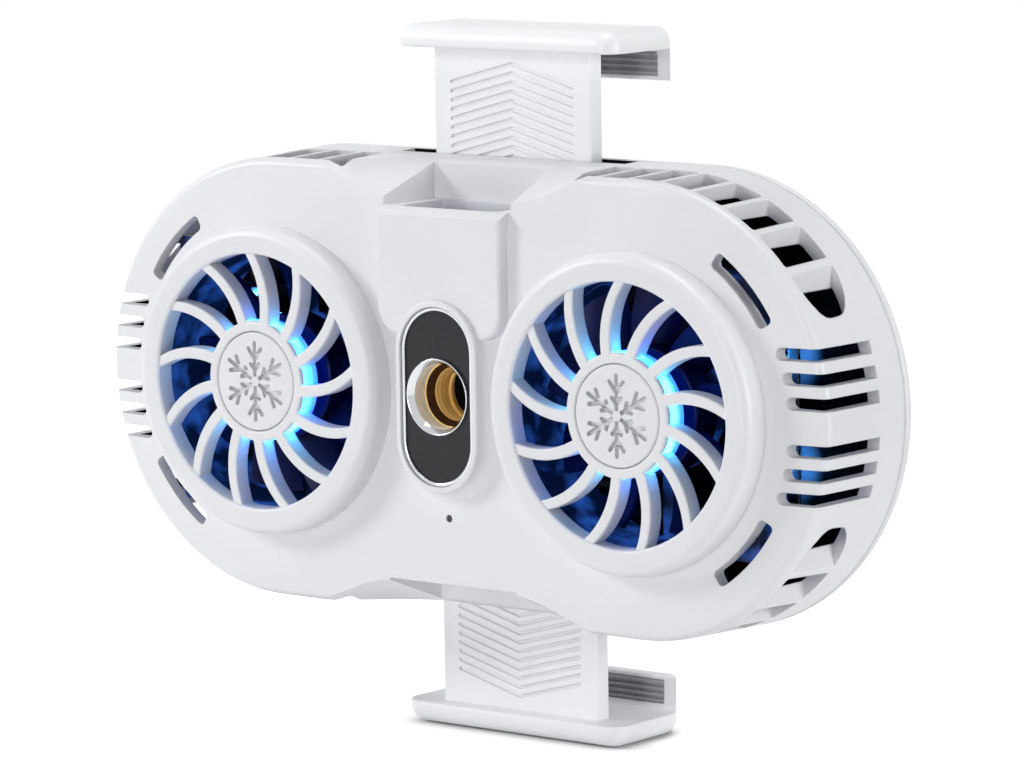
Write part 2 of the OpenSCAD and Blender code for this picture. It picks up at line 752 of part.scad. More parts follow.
module fan_frame() {
    difference() {
        union() {
            slab(fan_y, fan_back_y) difference() {
                square(fan_size, center = true);
                circle(bore_r);
            }
            // collar that the grille's ring sits round
            tube(collar_r, bore_r, collar_y, fan_y + eps);
            rod(hub_disc_r, disc_y, fan_back_y);
            rod(motor_boss_r, bush_front_y - 0.2, fan_back_y);
            slab(disc_y, fan_back_y) for (a = [0, 90]) rotate(a) square([fan_size - 1, strut_w], center = true);
        }
        rod(bush_r, bush_front_y - 1, bush_back_y);
        // groove for the motor's lead
        block([-fan_size, ribbon_y - ribbon_gap, -ribbon_w / 2 - ribbon_gap],
            [-ribbon_in + ribbon_gap, fan_back_y + 1, ribbon_w / 2 + ribbon_gap]);
        block([-ribbon_in - ribbon_t - ribbon_gap, disc_y - 1, -ribbon_w / 2 - ribbon_gap],
            [-ribbon_in + ribbon_gap, fan_back_y + 1, ribbon_w / 2 + ribbon_gap]);
        for (i = [-1, 1]) for (k = [-1, 1]) translate([i * fan_hole, 0, k * fan_hole]) {
            rod(fan_screw_r + hole_gap, fan_y - 1, fan_back_y + 1);
            rod(fan_head_r + hole_gap, fan_back_y - frame_sink, fan_back_y + 1);
        }
    }
}

module fan_frame_left() { color("dimgray") on_fan(-1) fan_frame(); }
module fan_frame_right() { color("dimgray") on_fan(1) fan_frame(); }

// Flat lead from the motor's board through the frame's strut to the main board
module fan_lead() {
    end = ribbon_end_x - fx;
    w = ribbon_w / 2;
    block([-ribbon_in - ribbon_t, disc_y, -w], [-ribbon_in, ribbon_y + ribbon_t, w]);
    block([end, ribbon_y, -w], [-ribbon_in, ribbon_y + ribbon_t, w]);
    block([end, ribbon_y, -w], [end + ribbon_t, board_y, w]);
}
module fan_lead_left() { color("black") on_fan(-1) fan_lead(); }
module fan_lead_right() { color("black") on_fan(1) fan_lead(); }

module fan_bush() { tube(bush_r, shaft_d / 2 + run_gap, bush_front_y, bush_back_y); }
module fan_bush_left() { color("goldenrod") on_fan(-1) fan_bush(); }
module fan_bush_right() { color("goldenrod") on_fan(1) fan_bush(); }

module motor_board() { tube(hub_disc_r - 0.8, motor_boss_r, motor_board_y, disc_y); }
module motor_board_left() { color("darkgreen") on_fan(-1) motor_board(); }
module motor_board_right() { color("darkgreen") on_fan(1) motor_board(); }

// Four-pole core: a ring on the boss, four arms and four curved shoes
core_arm_w = 1.6;
core_ring_r = motor_boss_r + 0.9;
shoe_t = 0.8;
module stator_core() {
    shoe_half = 33;
    far = 2 * core_r;
    slab(core_y, core_back_y) difference() {
        union() {
            circle(core_ring_r);
            for (a = [45, 135]) rotate(a) square([2 * core_r - shoe_t, core_arm_w], center = true);
            for (a = [45, 135, 225, 315]) rotate(a) intersection() {
                difference() {
                    circle(core_r);
                    circle(core_r - shoe_t);
                }
                polygon([[0, 0], far * [cos(shoe_half), -sin(shoe_half)], far * [cos(shoe_half), sin(shoe_half)]]);
            }
        }
        circle(motor_boss_r);
    }
}
module stator_core_left() { color("silver") on_fan(-1) stator_core(); }
module stator_core_right() { color("silver") on_fan(1) stator_core(); }

// Four coils, one round each arm of the core
module stator_coils() {
    coil_gap = 0.1;
    coil_t = 0.7;
    inner = core_ring_r + coil_gap;
    side = core_arm_w / 2 + coil_gap;
    outer = sqrt(pow(core_r - shoe_t - coil_gap, 2) - pow(side + coil_t, 2));
    for (a = [45, 135, 225, 315]) rotate([0, a, 0]) difference() {
        block([inner, core_y - coil_over, -side - coil_t], [outer, core_back_y + coil_over, side + coil_t]);
        block([inner - 1, core_y - coil_gap, -side], [outer + 1, core_back_y + coil_gap, side]);
    }
}
module stator_coils_left() { color("chocolate") on_fan(-1) stator_coils(); }
module stator_coils_right() { color("chocolate") on_fan(1) stator_coils(); }

// Hub cup with pitched blades
module impeller() {
    span = blade_back_y - blade_front_y;
    chord = span / sin(blade_angle) + 2;
    root = rotor_r - 0.5;
    difference() {
        rod(rotor_r, rotor_front_y, rotor_back_y);
        rod(magnet_out_r, rotor_inner_y, rotor_back_y + 1);
        rod(shaft_d / 2, rotor_front_y + 0.3, rotor_back_y);
    }
    tube(shaft_d / 2 + 1, shaft_d / 2, rotor_inner_y - 0.2, bush_front_y - 0.5);
    intersection() {
        tube(blade_tip_r, root, blade_front_y, blade_back_y);
        for (i = [0 : blade_count - 1]) rotate([0, i * 360 / blade_count, 0])
            translate([(root + blade_tip_r) / 2, (blade_front_y + blade_back_y) / 2, 0])
                rotate([blade_angle, 0, 0]) cube([blade_tip_r - root + 6, blade_t, chord], center = true);
    }
}
module impeller_left() { color("black") on_fan(-1) impeller(); }
module impeller_right() { color("black") on_fan(1) impeller(); }

module magnet_ring() { tube(magnet_out_r, magnet_in_r, rotor_inner_y + 0.2, rotor_back_y); }
module magnet_ring_left() { color("dimgray") on_fan(-1) magnet_ring(); }
module magnet_ring_right() { color("dimgray") on_fan(1) magnet_ring(); }

module rotor_shaft() { rod(shaft_d / 2, rotor_front_y + 0.3, bush_back_y - 0.2); }
module rotor_shaft_left() { color("silver") on_fan(-1) rotor_shaft(); }
module rotor_shaft_right() { color("silver") on_fan(1) rotor_shaft(); }

// Base plate with ears for its screws, and straight fins towards the fan
module heat_sink() {
    fin_pitch = (sink_h - fin_t) / (fin_count - 1);
    difference() {
        union() {
            slab(sink_y, tile_y) {
                square([sink_w, sink_h], center = true);
                square([ear_w, 2 * ear_z], center = true);
                for (k = [-1, 1]) translate([0, k * ear_z]) circle(d = ear_w);
            }
            for (i = [0 : fin_count - 1])
                translate([0, 0, -sink_h / 2 + fin_t / 2 + i * fin_pitch])
                    block([-sink_w / 2, fin_y, -fin_t / 2], [sink_w / 2, sink_y + eps, fin_t / 2]);
        }
        for (k = [-1, 1]) translate([0, 0, k * ear_z]) rod(screw_r + hole_gap, sink_y - 1, tile_y + 1);
    }
}
module heat_sink_left() { color("gray") on_fan(-1) heat_sink(); }
module heat_sink_right() { color("gray") on_fan(1) heat_sink(); }

module cooling_tile() { slab(tile_y, -plate_t) square(tile_w, center = true); }
module cooling_tile_left() { color("white") on_fan(-1) cooling_tile(); }
module cooling_tile_right() { color("white") on_fan(1) cooling_tile(); }

// A straight piece of wire with round elbows at its ends
module wire(a, b) {
    d = b - a;
    translate(a) sphere(elbow_r, $fn = 24);
    translate(b) sphere(elbow_r, $fn = 24);
    translate(a) rotate([0, acos(d[2] / norm(d)), atan2(d[1], d[0])]) cylinder(h = norm(d), r = wire_r, $fn = 24);
}

// Two wires from the tile's upper and lower edges, over the heat sink, to the back of the main board
module tile_leads() {
    for (k = [-1, 1]) {
        end_z = k * min(wire_z, k > 0 ? board_top - 1 : -board_low - 1);
        path = [[wire_x, wire_y, k * (tile_w / 2 + elbow_r)], [wire_x, wire_y, k * wire_z],
            [wire_x, wire_front_y, k * wire_z], [wire_end_x, wire_front_y, end_z]];
        translate([-fx, 0, 0]) union() for (i = [0 : len(path) - 2]) wire(path[i], path[i + 1]);
    }
}
module tile_leads_left() { color("firebrick") on_fan(-1) tile_leads(); }
module tile_leads_right() { color("firebrick") on_fan(1) tile_leads(); }

module cold_plate() { color("lightgray") slab(-plate_t, 0) round_rect(plate_l, plate_h, plate_corner); }

module main_board() {
    color("darkgreen") difference() {
        block([-board_w / 2, board_y, board_low], [board_w / 2, board_y + board_t, board_top]);
        for (k = [-1, 1]) translate([k * board_screw_x, 0, board_screw_z])
            rod(screw_r + hole_gap, board_y - 1, board_y + board_t + 1);
    }
}

// Bent sheet shell of the upward output socket
module output_socket() {
    top = well_floor_z;
    low = top - output_l;
    color("silver") difference() {
        block([-output_w / 2, output_y - output_h / 2, low], [output_w / 2, output_y + output_h / 2, top]);
        block([-output_w / 2 + socket_wall, output_y - output_h / 2 + socket_wall, low + 1.5],
            [output_w / 2 - socket_wall, output_y + output_h / 2 - socket_wall, top + 1]);
    }
}

// Insulating tongue of the output socket
module output_tongue() {
    low = well_floor_z - output_l + 1.5;
    color("royalblue") {
        block([-output_w / 2 + socket_wall, output_y - output_h / 2 + socket_wall, low],
            [output_w / 2 - socket_wall, output_y + output_h / 2 - socket_wall, low + 2.5]);
        block([-tongue_w / 2, output_y + 0.1, low], [tongue_w / 2, output_y + 0.1 + tongue_t, well_floor_z - 0.8]);
    }
}

// Drawn shell of the downward input socket
module input_socket() {
    color("silver") translate([0, input_y, -pocket_z]) difference() {
        linear_extrude(height = input_l) rotate(90) capsule_2d(input_w, input_h);
        translate([0, 0, -1]) linear_extrude(height = input_l)
            rotate(90) capsule_2d(input_w - 2 * socket_wall, input_h - 2 * socket_wall);
    }
}

module input_tongue() {
    color("black") translate([0, input_y, -pocket_z])
        block([-3.2, -0.35, 0.8], [3.2, 0.35, input_l - 1]);
}

module indicator_pipe() { color("white") translate([0, 0, pipe_z]) rod(pipe_r, front_y + 0.2, board_y); }

module capsule_trim() {
    l = capsule_l - capsule_w;
    color("silver") slab(capsule_y + 0.3, capsule_floor_y) difference() {
        capsule_2d(l + 2 * (trim_in_r + trim_w), 2 * (trim_in_r + trim_w));
        capsule_2d(l + 2 * trim_in_r, 2 * trim_in_r);
    }
}

module capsule_plate() {
    color("black") difference() {
        slab(capsule_y + plate_drop, capsule_floor_y) capsule_2d(capsule_l - capsule_w + 2 * trim_in_r, 2 * trim_in_r);
        rod(ring_socket_d / 2, capsule_y - 1, capsule_floor_y + 1);
    }
}

module socket_ring() {
    color("silver") tube(ring_socket_d / 2, ring_bore_d / 2, socket_ring_y, socket_ring_y + socket_ring_l);
}

module stand_insert() {
    color("goldenrod") difference() {
        rod(insert_d / 2, insert_y, insert_y + insert_l);
        rod(thread_d / 2, insert_y - 1, insert_y + insert_l + 1);
        rod(thread_d / 2 + countersink, insert_y - eps, insert_y + countersink_l, thread_d / 2);
    }
}

// Plate that closes the arms' channel from inside
module guide_plate() {
    color("gainsboro") difference() {
        slab(guide_y, guide_back_y) {
            square([2 * (rail_x + rail_t), rail_l - 4], center = true);
            for (j = [-1, 1]) translate([0, j * guide_screw_z]) {
                square([2 * guide_screw_x, 2 * guide_boss_r], center = true);
                for (k = [-1, 1]) translate([k * guide_screw_x, 0]) circle(guide_boss_r);
            }
        }
        rod(axle_r, guide_y - 1, guide_back_y + 1);
        for (k = [-1, 1]) for (j = [-1, 1]) translate([k * guide_screw_x, 0, j * guide_screw_z])
            rod(screw_r + hole_gap, guide_y - 1, guide_back_y + 1);
    }
}

module pinion_axle() { color("silver") rod(axle_r, guide_y, floor_y); }

module friction_washer() {
    color("silver") tube(axle_r + 1.6, axle_r + 0.05, guide_back_y, guide_back_y + washer_t);
}

// Half of the angle that a tooth fills at radius r, in degrees
function tooth_half(r) =
    let (base_r = pitch_r * cos(pressure),
        inv = function (a) tan(a) - a * PI / 180,
        at_pitch = (tooth_pitch / 2 - backlash) / 2 / pitch_r,
        a = r > base_r ? acos(base_r / r) : 0)
    (at_pitch + inv(pressure) - inv(a)) * 180 / PI;

module pinion_2d() {
    root_r = pitch_r - dedendum;
    base_r = pitch_r * cos(pressure);
    tip_r = pitch_r + addendum;
    flank = concat([root_r], [for (i = [0 : 4]) base_r + (tip_r - base_r) * i / 4]);
    polygon([for (t = [0 : pinion_teeth - 1]) let (c = t * 360 / pinion_teeth)
        each concat([for (r = flank) r * [cos(c - tooth_half(r)), sin(c - tooth_half(r))]],
            [for (i = [len(flank) - 1 : -1 : 0]) let (r = flank[i])
                r * [cos(c + tooth_half(r)), sin(c + tooth_half(r))]])]);
}

module sync_pinion() {
    color("ivory") difference() {
        slab(pinion_y, pinion_back_y) pinion_2d();
        rod(axle_r + run_gap, pinion_y - 1, pinion_back_y + 1);
    }
}

// Rack on the right of the pinion: a gap faces the pinion's tooth at the middle
module rack_2d() {
    root_x = pitch_r + dedendum;
    tip_x = pitch_r - addendum;
    thick = tooth_pitch / 2 - backlash;
    flank = tan(pressure);
    half_root = thick / 2 + dedendum * flank;
    half_tip = thick / 2 - addendum * flank;
    first = ceil((rack_low + half_root) / tooth_pitch - 0.5);
    last = floor((arm_low - half_root) / tooth_pitch - 0.5);
    translate([root_x, rack_low]) square([rack_back_x - root_x, arm_low - rack_low + 1]);
    for (i = [first : last]) let (z = (i + 0.5) * tooth_pitch)
        polygon([[root_x + eps, z - half_root], [tip_x, z - half_tip], [tip_x, z + half_tip],
            [root_x + eps, z + half_root]]);
}

module chevrons_2d() {
    drop = chevron_w * chevron_slope;
    for (i = [0 : chevron_count - 1]) translate([0, chevron_top - i * chevron_pitch])
        polygon([[0, 0], [chevron_w, -drop], [chevron_w, -drop - chevron_g], [0, -chevron_g],
            [-chevron_w, -drop - chevron_g], [-chevron_w, -drop]]);
}

// Section of a jaw in Y and Z: a plate from the arm to the lip, round at the outer corner
module jaw_2d() {
    top = jaw_z + jaw_t;
    difference() {
        union() {
            translate([jaw_front_y, jaw_z]) square([jaw_back_y - jaw_front_y, jaw_t]);
            translate([lip_y, jaw_z - lip_h]) square([lip_t, lip_h + jaw_t]);
            translate([lip_y - jaw_fillet, jaw_z - jaw_fillet]) square(jaw_fillet + eps);
        }
        translate([lip_y - jaw_fillet, jaw_z - jaw_fillet]) circle(jaw_fillet);
        difference() {
            translate([jaw_back_y - jaw_round, top - jaw_round]) square(jaw_round + 1);
            translate([jaw_back_y - jaw_round, top - jaw_round]) circle(jaw_round);
        }
        difference() {
            translate([jaw_front_y - 1, top - jaw_front_r]) square(jaw_front_r + 1);
            translate([jaw_front_y + jaw_front_r, top - jaw_front_r]) circle(jaw_front_r);
        }
    }
}

// Arm, rack and jaw in one moulding, drawn for the upper clamp
module clamp_arm() {
    difference() {
        union() {
            slab(arm_y, arm_back_y) {
                translate([-arm_w / 2, arm_low]) square([arm_w, jaw_z - arm_low + 1]);
                rack_2d();
            }
            intersection() {
                across(jaw_w) jaw_2d();
                translate([0, (jaw_front_y + jaw_back_y) / 2, jaw_z - 2 * lip_h]) linear_extrude(height = 4 * lip_h)
                    round_rect(jaw_w, jaw_back_y - jaw_front_y, jaw_corner);
                translate([0, jaw_front_y, jaw_z - 2 * lip_h]) linear_extrude(height = 4 * lip_h)
                    round_rect(jaw_w, 2 * (jaw_back_y - jaw_front_y), jaw_back_corner);
                slab(jaw_front_y, jaw_back_y) translate([0, jaw_z + jaw_t - 2 * lip_h])
                    round_rect(jaw_w, 4 * lip_h, jaw_end_r);
            }
        }
        // slot for the other arm's rack when the clamp is closed
        block([-rack_back_x - tail_gap, arm_y - 1, arm_low - 1], [-pitch_r + addendum + tail_gap, arm_back_y + 1, tail_slot_top]);
        slab(arm_y - 1, arm_y + chevron_depth) chevrons_2d();
        // seat of the grip pad
        block([-pad_l / 2, lip_y - 1, jaw_z - lip_h + 0.65], [pad_l / 2, lip_y + pad_in, jaw_z - lip_h + 0.65 + pad_h]);
    }
}

// Soft pad with ribs along the jaw
module grip_pad() {
    low = jaw_z - lip_h + 0.65;
    rib = pad_h / (2 * pad_ribs);
    block([-pad_l / 2, lip_y, low], [pad_l / 2, lip_y + pad_in, low + pad_h]);
    for (i = [0 : pad_ribs - 1])
        block([-pad_l / 2, lip_y - pad_proud, low + (2 * i + 0.5) * rib], [pad_l / 2, lip_y + eps, low + (2 * i + 1.5) * rib]);
}

module upper_arm() { color("whitesmoke") clamp_arm(); }
module upper_grip_pad() { color("dimgray") grip_pad(); }
module lower_arm() { color("whitesmoke") rotate([0, 180, 0]) clamp_arm(); }
module lower_grip_pad() { color("dimgray") rotate([0, 180, 0]) grip_pad(); }

module case_screws() {
    color("silver") for (s = case_spots) translate([s[0], back_y - screw_head_h - 0.1, s[1]])
        screw(screw_r, screw_bite - 0.5, screw_head_r, screw_head_h);
}

module fan_screws() {
    color("silver") for (side = [-1, 1]) on_fan(side) for (i = [-1, 1]) for (k = [-1, 1])
        translate([i * fan_hole, fan_back_y - frame_sink, k * fan_hole])
            screw(fan_screw_r, fan_t - frame_sink + fan_bite, fan_head_r, fan_head_h);
}

module sink_screws() {
    color("silver") for (k = [-1, 1]) for (j = [-1, 1]) translate([k * fx, sink_y, j * ear_z])
        mirror([0, 1, 0]) screw(screw_r, floor_y + 0.4 - sink_y, screw_head_r, screw_head_h);
}

module guide_screws() {
    color("silver") for (k = [-1, 1]) for (j = [-1, 1]) translate([k * guide_screw_x, guide_y, j * guide_screw_z])
        mirror([0, 1, 0]) screw(screw_r, floor_y + 0.4 - guide_y, screw_head_r, screw_head_h);
}

module board_screws() {
    color("silver") for (k = [-1, 1]) translate([k * board_screw_x, board_y + board_t, board_screw_z])
        screw(screw_r, board_t + board_bite, screw_head_r, screw_head_h);
}

front_shell();
rear_cover();
fan_grille_left();
fan_grille_right();
hub_badge_left();
hub_badge_right();
light_ring_left();
light_ring_right();
fan_frame_left();
fan_frame_right();
fan_bush_left();
fan_bush_right();
motor_board_left();
motor_board_right();
stator_core_left();
stator_core_right();
stator_coils_left();
stator_coils_right();
impeller_left();
impeller_right();
magnet_ring_left();
magnet_ring_right();
rotor_shaft_left();
rotor_shaft_right();
heat_sink_left();
heat_sink_right();
cooling_tile_left();
cooling_tile_right();
cold_plate();
main_board();
output_socket();
output_tongue();
input_socket();
input_tongue();
indicator_pipe();
capsule_trim();
capsule_plate();
socket_ring();
stand_insert();
guide_plate();
pinion_axle();
friction_washer();
sync_pinion();
upper_arm();
upper_grip_pad();
lower_arm();
lower_grip_pad();
case_screws();
fan_screws();
sink_screws();
guide_screws();
board_screws();
fan_lead_left();
fan_lead_right();
tile_leads_left();
tile_leads_right();
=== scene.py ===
# %% [markdown]
# # A clamp-on phone cooler, piece by piece
# The real object is a flat white plastic housing with two lit fans in front, a cold plate at the
# back and two geared arms that slide in and out to hold a phone. The moving parts come from a
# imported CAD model, and this lesson dresses it: each visible piece is modelled again with bmesh
# operators and gets a finish of its own. Everything is drawn in millimetres in the CAD model's
# frame and is made metres only when a piece is finished.

# %% Load the frame
from math import cos, hypot, pi, radians, sin, tan

import bmesh
import bpy
from mathutils import Matrix, Vector


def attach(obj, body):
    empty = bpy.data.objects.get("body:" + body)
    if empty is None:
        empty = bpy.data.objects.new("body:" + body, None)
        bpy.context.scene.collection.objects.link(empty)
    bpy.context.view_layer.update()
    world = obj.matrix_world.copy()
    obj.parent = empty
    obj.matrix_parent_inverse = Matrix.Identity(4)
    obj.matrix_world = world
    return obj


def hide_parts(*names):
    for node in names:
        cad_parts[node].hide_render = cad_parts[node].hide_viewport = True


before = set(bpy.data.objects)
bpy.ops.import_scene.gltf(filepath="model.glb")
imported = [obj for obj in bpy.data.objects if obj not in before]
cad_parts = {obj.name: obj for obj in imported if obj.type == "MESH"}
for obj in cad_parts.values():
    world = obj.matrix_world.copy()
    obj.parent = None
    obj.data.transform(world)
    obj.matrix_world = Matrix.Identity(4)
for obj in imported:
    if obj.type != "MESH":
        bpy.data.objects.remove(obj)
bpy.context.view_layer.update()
MM = 0.001
scene = bpy.context.scene

# %% [markdown]
# ## Camera
# The photograph is taken from the right, a little above the middle, with a long lens. The place
# and the turn of the camera were found by matching points of the CAD model to the picture, so
# they are written as numbers here.

# %% Camera
EYE = (480.952, -613.030, 105.823)  # mm
camera = bpy.data.objects.new("camera", bpy.data.cameras.new("camera"))
scene.collection.objects.link(camera)
camera.data.sensor_width = 36.0
camera.data.lens = 186.822
turn = Matrix(((0.784739, -0.072998, 0.615513),
               (0.619664, 0.115096, -0.776382),
               (-0.014169, 0.990669, 0.135555)))
camera.matrix_world = Matrix.Translation(Vector(EYE) * MM) @ turn.to_4x4()
scene.camera = camera
scene.view_settings.view_transform = "Standard"
print("camera is", round(camera.location.length, 3), "m from the cold plate")

# %% [markdown]
# ## Nodes and colours
# Every finish below is a small node tree. One helper adds a node: its settings are properties of
# the node, and an input is given either a plain value or the output that is linked to it. Colours
# are written as sRGB hex and turned to linear light, and pattern sizes are given in millimetres.

# %% Node and colour helpers
def linear(code):
    parts = [int(code[i:i + 2], 16) / 255 for i in (0, 2, 4)]
    return tuple(c / 12.92 if c <= 0.04045 else ((c + 0.055) / 1.055) ** 2.4 for c in parts) + (1.0,)


def feed(tree, node, inputs):
    for name, value in inputs.items():
        if isinstance(value, bpy.types.NodeSocket):
            tree.links.new(value, node.inputs[name])
        else:
            node.inputs[name].default_value = value


def add(tree, kind, inputs=None, **settings):
    node = tree.nodes.new("ShaderNode" + kind)
    for name, value in settings.items():
        setattr(node, name, value)
    feed(tree, node, inputs or {})
    return node


def per_mm(size):
    return 1.0 / (size * MM)


def start_finish(name):
    finish = bpy.data.materials.new(name)
    finish.use_nodes = True
    return finish, finish.node_tree, finish.node_tree.nodes["Principled BSDF"]


print("mid grey in linear light:", round(linear("808080")[0], 3))

# %% [markdown]
# Most finishes are made of the same four steps: a noise of a given size on the object, a colour
# between two tones, a value between two ends, and a calculation with two values. Each step is a
# helper that gives back its output, so that a finish reads as a short recipe.

# %% Recipe helpers
def noise(tree, size, detail=2.0, stretch=None, **more):
    spot = add(tree, "TexCoord").outputs["Object"]
    if stretch:
        spot = add(tree, "Mapping", {"Vector": spot, "Scale": stretch}).outputs[0]
    inputs = {"Vector": spot, "Scale": per_mm(size), "Detail": detail, **more}
    return add(tree, "TexNoise", inputs).outputs["Fac"]


def ramp(tree, value, dark, pale, low=0.0, high=1.0):
    node = add(tree, "ValToRGB", {"Fac": value})
    for stop, code, place in zip(node.color_ramp.elements, (dark, pale), (low, high)):
        stop.color = linear(code)
        stop.position = place
    return node.outputs[0]


def spread(tree, value, low, high, start=0.0, end=1.0):
    return add(tree, "MapRange", {"Value": value, "From Min": start, "From Max": end,
                                  "To Min": low, "To Max": high}).outputs[0]


def calc(tree, how, first, second):
    return add(tree, "Math", {0: first, 1: second}, operation=how).outputs[0]


print("a pattern of 2 mm has a noise scale of", per_mm(2.0))

# %% [markdown]
# ## Studio: floor
# The photograph has a pure white surround with only a small contact shadow. The floor is ordinary
# pale paper that also glows a little for the camera alone, so its lit part reaches white and its
# shadow stays. Where the object stands close over it, the glow is taken away, which paints a darker
# contact shadow.

# %% Floor
FLOOR_Z = -0.0526  # metres, just under the lower jaw
floor_finish, tree, skin = start_finish("Paper, pale matt")
rays = add(tree, "LightPath").outputs
seen = calc(tree, "MAXIMUM", rays["Is Camera Ray"], rays["Is Glossy Ray"])
# the glow dies away where ambient occlusion finds the object within a few mm: a painted contact
# shadow
occlusion_for_painted_shadow = add(tree, "AmbientOcclusion", {"Distance": 8.0 * MM}).outputs["AO"]
glow_with_painted_contact_shadow = spread(tree, occlusion_for_painted_shadow, 0.0, 0.66, 0.3, 0.95)
feed(tree, skin, {"Base Color": spread(tree, noise(tree, 2.0), 0.84, 0.88),
                  "Emission Strength": calc(tree, "MULTIPLY", seen, glow_with_painted_contact_shadow),
                  "Emission Color": (1, 1, 1, 1), "Roughness": 0.9, "Specular IOR Level": 0.0})

sheet = bmesh.new()
bmesh.ops.create_grid(sheet, x_segments=8, y_segments=8, size=0.45,
                      matrix=Matrix.Translation((0, 0, FLOOR_Z)))
floor_mesh = bpy.data.meshes.new("floor")
sheet.to_mesh(floor_mesh)
sheet.free()
floor = bpy.data.objects.new("floor", floor_mesh)
scene.collection.objects.link(floor)
floor_mesh.materials.append(floor_finish)
print("floor has", len(floor_mesh.polygons), "faces")

# %% [markdown]
# ## Studio: room and lamps
# The world is white to the camera, in reflections and through clear things, and a softer fill
# light for everything else. Four square lamps shape the object: the brightest parts of the
# photograph look up or to the right, so the lamps above and at the right are the strongest.

# %% World and lamps
world = bpy.data.worlds.new("white room")
scene.world = world
world.use_nodes = True
tree = world.node_tree
rays = add(tree, "LightPath").outputs
seen = calc(tree, "MAXIMUM", rays["Is Camera Ray"], rays["Is Glossy Ray"])
seen = calc(tree, "MAXIMUM", seen, rays["Is Transmission Ray"])
feed(tree, tree.nodes["Background"], {"Strength": spread(tree, seen, 0.14, 1.0),
                                      "Color": (1, 1, 1, 1)})


def lamp(name, kind, place, aim, power):
    obj = bpy.data.objects.new(name, bpy.data.lights.new(name, kind))
    obj.data.energy = power
    obj.location = place
    obj.rotation_euler = Vector(aim).to_track_quat("-Z", "Y").to_euler()
    scene.collection.objects.link(obj)
    return obj.data


# name, place and size in metres, power in watts
for name, place, size, power in (("key lamp", (-0.58, -0.46, 0.33), 0.22, 2.7),
                                 ("front lamp", (0.10, -1.10, 0.10), 0.30, 3.4),
                                 ("right lamp", (1.00, 0.10, 0.15), 0.40, 4.6),
                                 ("top lamp", (0.05, 0.05, 1.00), 0.50, 4.6)):
    lamp(name, "AREA", place, -Vector(place), power).size = size
    print(name, power, "W at", place)

# %% [markdown]
# ## Shapes: turning, running round, extruding
# Moulded parts like these come from a few kinds of form. A turned form is a section spun about an
# axis. A stadium is a section run round two half circles and the straights between them. A prism
# is a flat outline, its corners rounded by a vertex bevel, pulled to a thickness. All helpers give
# a bmesh in millimetres.

# %% Turned and stadium forms
FX = 33.6  # the fans' axes stand this far left and right of the middle


def tidy(bm, gap=0.002):
    bmesh.ops.remove_doubles(bm, verts=bm.verts, dist=gap)
    bmesh.ops.recalc_face_normals(bm, faces=bm.faces)
    return bm


def chain(bm, points, close=False):
    verts = [bm.verts.new(p) for p in points]
    ends = verts[1:] + verts[:1] if close else verts[1:]
    return verts + [bm.edges.new(pair) for pair in zip(verts, ends)]


def verts_in(geom):
    return [g for g in geom if isinstance(g, bmesh.types.BMVert)]


def rect(a0, b0, a1, b1):
    return [(a0, b0), (a1, b0), (a1, b1), (a0, b1)]


def turned(section, x=0.0, z=0.0, steps=96, close=False):
    bm = bmesh.new()
    path = chain(bm, [(x, y, z + r) for r, y in section], close)
    bmesh.ops.spin(bm, geom=path, cent=(x, 0, z), axis=(0, 1, 0), angle=2 * pi, steps=steps,
                   use_merge=True)
    return tidy(bm)


def stadium(section, half, steps=48, close=False):
    bm = bmesh.new()
    run = chain(bm, [(-half, y, r) for r, y in section], close)
    for way in (1, -1):
        run = bmesh.ops.spin(bm, geom=run, cent=(-way * half, 0, 0), axis=(0, 1, 0), angle=-pi,
                             steps=steps)["geom_last"]
        edges = [g for g in run if isinstance(g, bmesh.types.BMEdge)]
        moved = set(verts_in(bmesh.ops.extrude_edge_only(bm, edges=edges)["geom"]))
        bmesh.ops.translate(bm, vec=(way * 2 * half, 0, 0), verts=list(moved))
        run = list(moved) + [e for e in bm.edges if e.verts[0] in moved and e.verts[1] in moved]
    tidy(bm)
    if not close:
        bmesh.ops.holes_fill(bm, edges=[e for e in bm.edges if e.is_boundary])
    return tidy(bm)


trial = stadium(rect(10, 0, 33, 20), FX)
print("trial stadium is closed:", all(e.is_manifold for e in trial.edges), len(trial.faces), "faces")
trial.free()

# %% [markdown]
# ## Shapes: prisms and edges
# Real mouldings have no razor edges, so the edges that catch the light are bevelled while the form
# is still simple. An edge is picked by where its ends are, or by how sharply its faces meet.

# %% Prisms and rounded edges
ALL = (0, 1, 2, 3)  # every corner of a rectangle


def bevel(bm, geom, width, segments, affect="EDGES"):
    bmesh.ops.bevel(bm, geom=geom, offset=width, offset_type="OFFSET", affect=affect,
                    segments=segments, profile=0.5, material=-1, clamp_overlap=True)


def prism(outline, axis, low, high, rounds=(), segments=6):
    spot = {"X": lambda a, b: (low, a, b), "Y": lambda a, b: (a, low, b),
            "Z": lambda a, b: (a, b, low)}[axis]
    bm = bmesh.new()
    corners = [bm.verts.new(spot(a, b)) for a, b in outline]
    bm.faces.new(corners)
    for width, picks in rounds:
        bevel(bm, [corners[i] for i in picks], width, segments, "VERTICES")
    pulled = bmesh.ops.extrude_face_region(bm, geom=bm.faces[:])["geom"]
    pull = Vector((axis == "X", axis == "Y", axis == "Z")) * (high - low)
    bmesh.ops.translate(bm, vec=pull, verts=verts_in(pulled))
    return tidy(bm)


def box(low, high):
    (x0, y0, z0), (x1, y1, z1) = low, high
    return prism(rect(x0, z0, x1, z1), "Y", y0, y1)


def level(p, y):
    return abs(p.y - y) < 0.01


def round_edges(bm, width, pick, segments=4):
    bevel(bm, [e for e in bm.edges if all(pick(v.co) for v in e.verts)], width, segments)
    return bm


def soften(bm, width, least=40, segments=3):
    sharp = [e for e in bm.edges if e.is_manifold and e.calc_face_angle() > radians(least)]
    bevel(bm, sharp, width, segments)
    return bm


trial = soften(box((0, 0, 0), (4, 4, 4)), 0.5)
print("trial cube with soft edges:", len(trial.faces), "faces")
trial.free()

